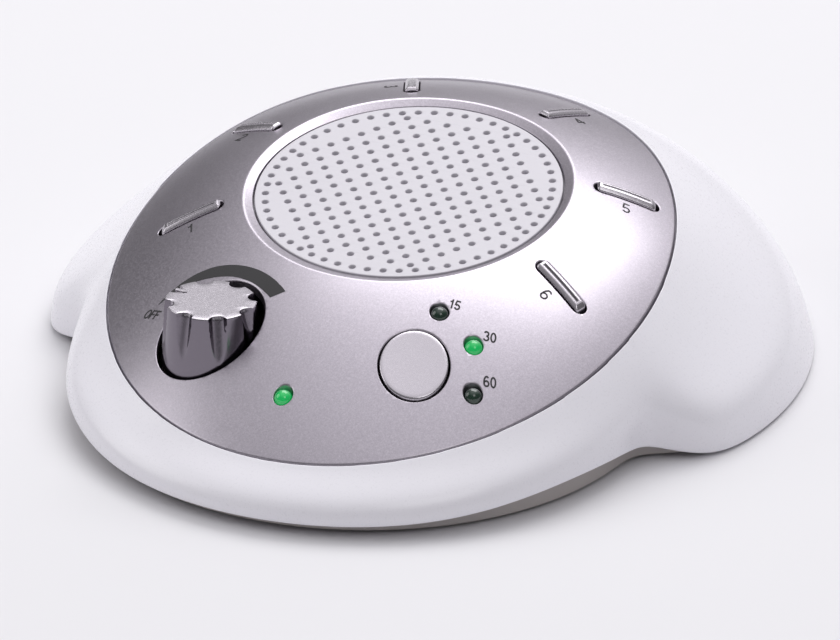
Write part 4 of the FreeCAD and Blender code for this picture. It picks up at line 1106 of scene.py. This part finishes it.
@dataclass
class PanelLamps:
    """Round-nosed lamps beside the timer button, and the power lamp in front."""

    radius: float = 2.0
    proud: float = 0.95
    length: float = 6.5
    flange: float = 2.4
    spots: dict[str, tuple[float, float]] = field(default_factory=lambda: {
        "led_15": (23.7, -28.8), "led_30": (33.3, -32.6), "led_60": (37.2, -42.0),
        "led_power": (-1.1, -56.1)})
    lit: tuple[str, ...] = ("led_30", "led_power")

    def build(self) -> None:
        """Models each lamp and gives it its lit or unlit lens."""
        for node, (x, y) in self.spots.items():
            top = DOME.at(x, y) + self.proud
            low, nose = top - self.length, top - self.radius
            profile = [(0, low), (self.flange, low), (self.flange, low + 0.7),
                       (self.radius, low + 0.7)]
            profile += [(r, nose + rise) for r, rise in (
                polar(degrees, self.radius) for degrees in range(0, 90, 6))]
            lamp = turned(f"lamp_lens_{node[4:]}", profile + [(0, top)], (x, y), 40)
            smooth(lamp, weighted=False)
            lit = node in self.lit
            dress(lamp, LENS_LIT if lit else LENS_DARK)
            hand_over(lamp, Body.HOUSING.value, node)


def arc(cx: float, cy: float, rx: float, ry: float, start: float, end: float,
        steps: int = 14) -> list[Flat]:
    """Points along part of an ellipse, from one angle in degrees to another."""
    turns = [polar(start + (end - start) * i / steps) for i in range(steps + 1)]
    return [(cx + rx * c, cy + ry * s) for c, s in turns]


# Advance and strokes of each character, for a capital that is one unit high
GLYPHS: dict[str, tuple[float, list[list[Flat]]]] = {
    "0": (0.64, [arc(0.32, 0.5, 0.21, 0.43, 90, 450, 28)]),
    "1": (0.5, [[(0.06, 0.71), (0.19, 0.74), (0.28, 0.84), (0.3, 0.98)],
                [(0.3, 1.0), (0.3, 0.5), (0.3, 0.0)]]),
    "2": (0.64, [arc(0.31, 0.7, 0.21, 0.23, 170, -25) + [(0.36, 0.42), (0.12, 0.17),
                                                        (0.09, 0.07)],
                 [(0.03, 0.07), (0.3, 0.07), (0.56, 0.07)]]),
    "3": (0.64, [arc(0.3, 0.72, 0.2, 0.21, 160, -90), arc(0.3, 0.29, 0.23, 0.22, 90, -160)]),
    "4": (0.64, [[(0.43, 0.0), (0.43, 0.5), (0.43, 0.98)], [(0.41, 0.96), (0.06, 0.3)],
                 [(0.03, 0.27), (0.3, 0.27), (0.6, 0.27)]]),
    "5": (0.64, [[(0.54, 0.93), (0.34, 0.93), (0.13, 0.93)], [(0.16, 0.98), (0.1, 0.46)],
                 arc(0.3, 0.3, 0.22, 0.24, 140, -155)]),
    "6": (0.64, [arc(0.32, 0.3, 0.22, 0.23, 90, 450, 28),
                 arc(0.34, 0.44, 0.24, 0.49, 205, 50)]),
    "O": (0.78, [arc(0.39, 0.5, 0.3, 0.44, 90, 450, 28)]),
    "F": (0.64, [[(0.11, 0.0), (0.11, 0.5), (0.11, 1.0)], [(0.05, 0.93), (0.3, 0.93),
                                                          (0.58, 0.93)],
                 [(0.08, 0.51), (0.3, 0.51), (0.52, 0.51)]]),
}


@dataclass
class Printing:
    """Grey screen print on the panel: the volume wedge and plain numbers."""

    lift: float = 0.02
    film: float = 0.03
    stroke: float = 0.36
    wedge_start: float = 34.0
    wedge_sweep: float = 120.0
    outer: tuple[Flat, ...] = (
        (34, 16.35), (44, 15.7), (54, 15.35), (64, 15.2), (75, 15.25), (85, 15.5),
        (94, 15.9), (103, 16.35), (111, 16.8), (123, 17.25), (134, 17.45), (147, 17.55),
        (154, 17.55))
    inner: tuple[Flat, ...] = (
        (34, 12.95), (44, 12.35), (55, 12.05), (66, 12.0), (78, 12.15), (88, 12.5),
        (99, 12.95), (107, 13.4), (115, 13.95), (128, 15.2), (140, 16.4), (154, 17.45))
    # Name, text, place in plan, turn in degrees and capital height in millimetres
    labels: tuple[tuple[str, str, float, float, float, float], ...] = (
        ("print_off", "OFF", -40.4, -36.8, -20, 2.0),
        ("print_15", "15", 26.1, -25.8, 9, 2.3), ("print_30", "30", 35.7, -29.2, 17, 2.3),
        ("print_60", "60", 39.5, -38.1, 22, 2.3))
    number_reach: float = 4.6
    number_height: float = 3.1

    def wedge(self) -> Piece:
        """Band that widens clockwise round the knob."""
        rows = []
        for i in range(73):
            angle = self.wedge_start + self.wedge_sweep * i / 72
            low = float(np.interp(angle, *zip(*self.inner)))
            high = float(np.interp(angle, *zip(*self.outer)))
            row = [polar(angle, low + (high - low) * t) for t in (0, 0.25, 0.5, 0.75, 1)]
            rows.append([DOME.on(x, y, self.lift) for x, y in posed(row, *KNOB_AT, 0)])
        return loft("print_volume_wedge", rows)

    def ribbon(self, name: str, line: Sequence[Flat]) -> Piece:
        """Flat stroke of even width along a line on the dome.

        Args:
            name: Name of the new object.
            line: Points of its middle in plan. A line that ends where it starts is closed.

        Returns:
            The stroke's mesh.
        """
        closed = math.dist(line[0], line[-1]) < MERGE / MM
        rows = []
        for i, (x, y) in enumerate(line):
            before = line[i - 1] if i else (line[-2] if closed else line[0])
            after = line[i + 1] if i + 1 < len(line) else (line[1] if closed else line[-1])
            dx, dy = after[0] - before[0], after[1] - before[1]
            half = self.stroke / 2 / math.hypot(dx, dy)
            rows.append([DOME.on(x + dy * half * side, y - dx * half * side, self.lift)
                         for side in (-1, 0, 1)])
        return loft(name, rows)

    def label(self, name: str, text: str, x: float, y: float, turn: float,
              height: float) -> Piece:
        """One printed label, laid on the dome.

        Args:
            name: Name of the new object.
            text: What it says.
            x: Its middle across the panel.
            y: Its middle along the panel.
            turn: Direction of its line in degrees.
            height: Height of a capital in millimetres.

        Returns:
            The label's mesh.
        """
        start = -sum(GLYPHS[character][0] for character in text) / 2
        strokes = []
        for character in text:
            advance, lines = GLYPHS[character]
            for line in lines:
                flat = [((start + px) * height, (py - 0.5) * height) for px, py in line]
                strokes.append(self.ribbon(name, posed(flat, x, y, turn)))
            start += advance
        return join(strokes) if len(strokes) > 1 else strokes[0]

    def build(self, sound_spots: Sequence[Point]) -> None:
        """Lays the wedge and the labels on the panel.

        Args:
            sound_spots: Place and direction of each sound button.
        """
        marks = [self.wedge()] + [self.label(*label) for label in self.labels]
        for number, (x, y, angle) in enumerate(sound_spots, 1):
            turn = angle - 180 if polar(angle)[0] < 0 else angle
            dx, dy = polar(turn - 90, self.number_reach)
            marks.append(self.label(f"print_sound_{number}", str(number), x + dx, y + dy,
                                    turn, self.number_height))
        for mark in marks:
            face_up(mark)
            apply_modifier(mark, "SOLIDIFY", {"thickness": self.film * MM, "offset": 1.0})
            dress(mark, INK)
            hand_over(mark, Body.HOUSING.value, None)


@dataclass
class Underside:
    """Base, battery door and feet: the frame's own solids with their edges eased, the white
    base and door darkened to grey as painted shade.
    """

    def softened(self, node: str, name: str, width: float) -> Piece:
        """Copy of a CAD node with eased edges.

        Args:
            node: CAD node to copy.
            name: Name of the copy.
            width: Width of the eased edge in millimetres.

        Returns:
            The copy.
        """
        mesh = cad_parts[node].data.copy()
        mesh.name = name
        piece = link_mesh(name, mesh)
        activate(piece)
        bpy.ops.mesh.customdata_custom_splitnormals_clear()
        with editing(piece):
            bpy.ops.mesh.remove_doubles(threshold=MERGE)
            bpy.ops.mesh.dissolve_limited(angle_limit=math.radians(0.5))
        apply_modifier(piece, "BEVEL", {"width": width * MM, "segments": 2,
                                        "limit_method": "ANGLE",
                                        "angle_limit": math.radians(35)})
        smooth(piece)
        return piece

    def build(self) -> None:
        """Eases and dresses the pieces seen from below and behind."""
        housing, door = Body.HOUSING.value, Body.DOOR.value
        # The base cover and battery door take the white plastic darkened to grey: painted
        # shade.
        for node, name, width, finish, body, slot in (
                ("base_cover", "base_cover_moulded", 0.25, BASE_ABS_PAINTED_SHADE, housing, "base_white"),
                ("battery_door", "battery_door_moulded", 0.2, BASE_ABS_PAINTED_SHADE, door, "base_white"),
                ("rubber_feet", "feet_rubber", 0.15, FOOT_RUBBER, housing, "rubber_grey"),
                ("dc_jack", "inlet_socket", 0.2, BLACK_ABS, housing, "black_plastic")):
            piece = self.softened(node, name, width)
            dress(piece, finish)
            hand_over(piece, body, node)


@dataclass
class InnerWorks:
    """CAD nodes that stay as they are and only get their materials."""

    finishes: dict[str, Finish] = field(default_factory=lambda: {
        "grille_scrim": SCRIM, "speaker_basket": STEEL, "speaker_cone": CONE_PAPER,
        "dust_cap": CONE_PAPER, "speaker_magnet": FERRITE, "speaker_screws": STEEL,
        "volume_pot_body": STEEL, "volume_pot_shaft": STEEL, "timer_switch": BLACK_ABS,
        "button_board": BOARD, "button_board_screws": STEEL, "control_board": BOARD,
        "control_board_screws": STEEL, "led_legs": STEEL, "control_chips": BLACK_ABS,
        "capacitors": BLACK_ABS, "battery_cells": CELL_WRAP, "battery_contacts": STEEL,
        "case_screws": STEEL, "jack_pin": STEEL, "speaker_leads": WIRE_PVC,
        "battery_leads": WIRE_PVC, "sound_switches": BLACK_ABS})

    def build(self) -> None:
        """Dresses each node that is kept."""
        for node, finish in self.finishes.items():
            dress(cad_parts[node], finish)
        LOG.info("%d inner nodes dressed", len(self.finishes))


# ---- Studio


@dataclass(frozen=True)
class Softbox:
    """Rectangular studio lamp that points at the object."""

    name: str
    place: Point
    size: Flat
    power: float
    aim: Point = (0, 0, 0.03)

    def build(self) -> None:
        """Adds the lamp, in metres about the object's middle."""
        deselect()
        bpy.ops.object.light_add(type="AREA", location=self.place)
        lamp = bpy.context.object
        lamp.name = self.name
        lamp.data.shape = "RECTANGLE"
        lamp.data.size, lamp.data.size_y = self.size
        lamp.data.energy = self.power
        way = Vector(self.place) - Vector(self.aim)
        lamp.rotation_euler = way.to_track_quat("Z", "Y").to_euler()


@dataclass
class Studio:
    """Pale floor, soft lamps and the camera."""

    azimuth: float = 23.33
    elevation: float = 25.69
    distance: float = 6.2
    right_mm: float = 6.16
    up_mm: float = 14.03
    lens_per_metre: float = 197.5
    sensor: float = 36.0
    floor_size: float = 1.3
    floor_colour: str = "#e5e4e7"
    # Weights of rear and squared side in the surround's height, its range and radiance
    rear_weight: float = 0.45
    side_weight: float = -0.65
    sky_range: Flat = (0.13, 1.3)
    sky_level: Flat = (0.2, 1.35)
    seen_level: float = 0.93
    boxes: tuple[Softbox, ...] = (
        Softbox("softbox_behind", (-0.05, 0.66, 1.05), (1.0, 0.7), 7.2),
        Softbox("softbox_left", (-1.0, -0.35, 0.6), (0.8, 0.8), 3.2),
        Softbox("softbox_front_right", (0.75, -0.7, 1.0), (0.6, 0.6), 2.0))

    def floor(self) -> None:
        """Pale sweep of card under the object."""
        deselect()
        bpy.ops.mesh.primitive_plane_add(size=self.floor_size)
        floor = bpy.context.object
        floor.name = "floor_card"
        dress(floor, Moulding("card_matt_white", self.floor_colour, self.floor_colour, 0.8,
                              grain_height_mm=0.001))

    def world(self) -> None:
        """Surround that is bright overhead and behind, and dim low down and to the sides."""
        world = bpy.data.worlds.new("studio_surround")
        bpy.context.scene.world = world
        world.use_nodes = True
        tree = world.node_tree
        tree.nodes.clear()
        way = add_node(tree, "ShaderNodeTexCoord").outputs["Generated"]
        parts = add_node(tree, "ShaderNodeSeparateXYZ", {}, {"Vector": way})
        aside = maths(tree, "MULTIPLY", parts.outputs["X"], parts.outputs["X"])
        rear = maths(tree, "MULTIPLY_ADD", parts.outputs["Y"], self.rear_weight,
                     parts.outputs["Z"])
        height = maths(tree, "MULTIPLY_ADD", aside, self.side_weight, rear)
        level = add_node(tree, "ShaderNodeMapRange",
                         {"interpolation_type": "SMOOTHSTEP", "From Min": self.sky_range[0],
                          "From Max": self.sky_range[1], "To Min": self.sky_level[0],
                          "To Max": self.sky_level[1]}, {"Value": height})
        seen = add_node(tree, "ShaderNodeLightPath").outputs["Is Camera Ray"]
        strength = add_node(tree, "ShaderNodeMix", {"data_type": "FLOAT", 3: self.seen_level},
                            {0: seen, 2: level.outputs["Result"]})
        glow = add_node(tree, "ShaderNodeBackground", {"Color": linear("#fdfcff")},
                        {"Strength": strength.outputs[0]})
        add_node(tree, "ShaderNodeOutputWorld", {}, {"Surface": glow.outputs["Background"]})

    def camera(self) -> None:
        """Long lens at the photo's angle and distance."""
        a, e = math.radians(self.azimuth), math.radians(self.elevation)
        right = Vector((math.cos(a), math.sin(a), 0))
        up = Vector((-math.sin(a) * math.sin(e), math.cos(a) * math.sin(e), math.cos(e)))
        back = right.cross(up)
        target = in_metres((0, 0, 0)) + (right * self.right_mm + up * self.up_mm) * MM
        deselect()
        bpy.ops.object.camera_add(location=target + back * self.distance)
        camera = bpy.context.object
        camera.name = "camera_photo_angle"
        camera.rotation_euler = Matrix((right, up, back)).transposed().to_euler()
        camera.data.lens = self.lens_per_metre * self.distance
        camera.data.sensor_width = self.sensor
        camera.data.clip_end = 50.0
        bpy.context.scene.camera = camera

    def build(self) -> None:
        """Sets up the whole studio."""
        self.floor()
        self.world()
        for box in self.boxes:
            box.build()
        self.camera()
        bpy.context.scene.view_settings.view_transform = "Standard"


def main() -> None:
    """Builds the sub-assemblies in order, then the studio."""
    buttons, lamps = SoundButtons(), PanelLamps()
    OuterShell().build()
    ControlPanel().build(buttons.spots(), list(lamps.spots.values()))
    SpeakerGrille().build()
    VolumeKnob().build()
    TimerButton().build()
    buttons.build()
    lamps.build()
    Printing().build(buttons.spots())
    Underside().build()
    InnerWorks().build()
    Studio().build()


if __name__ == "__main__":
    main()
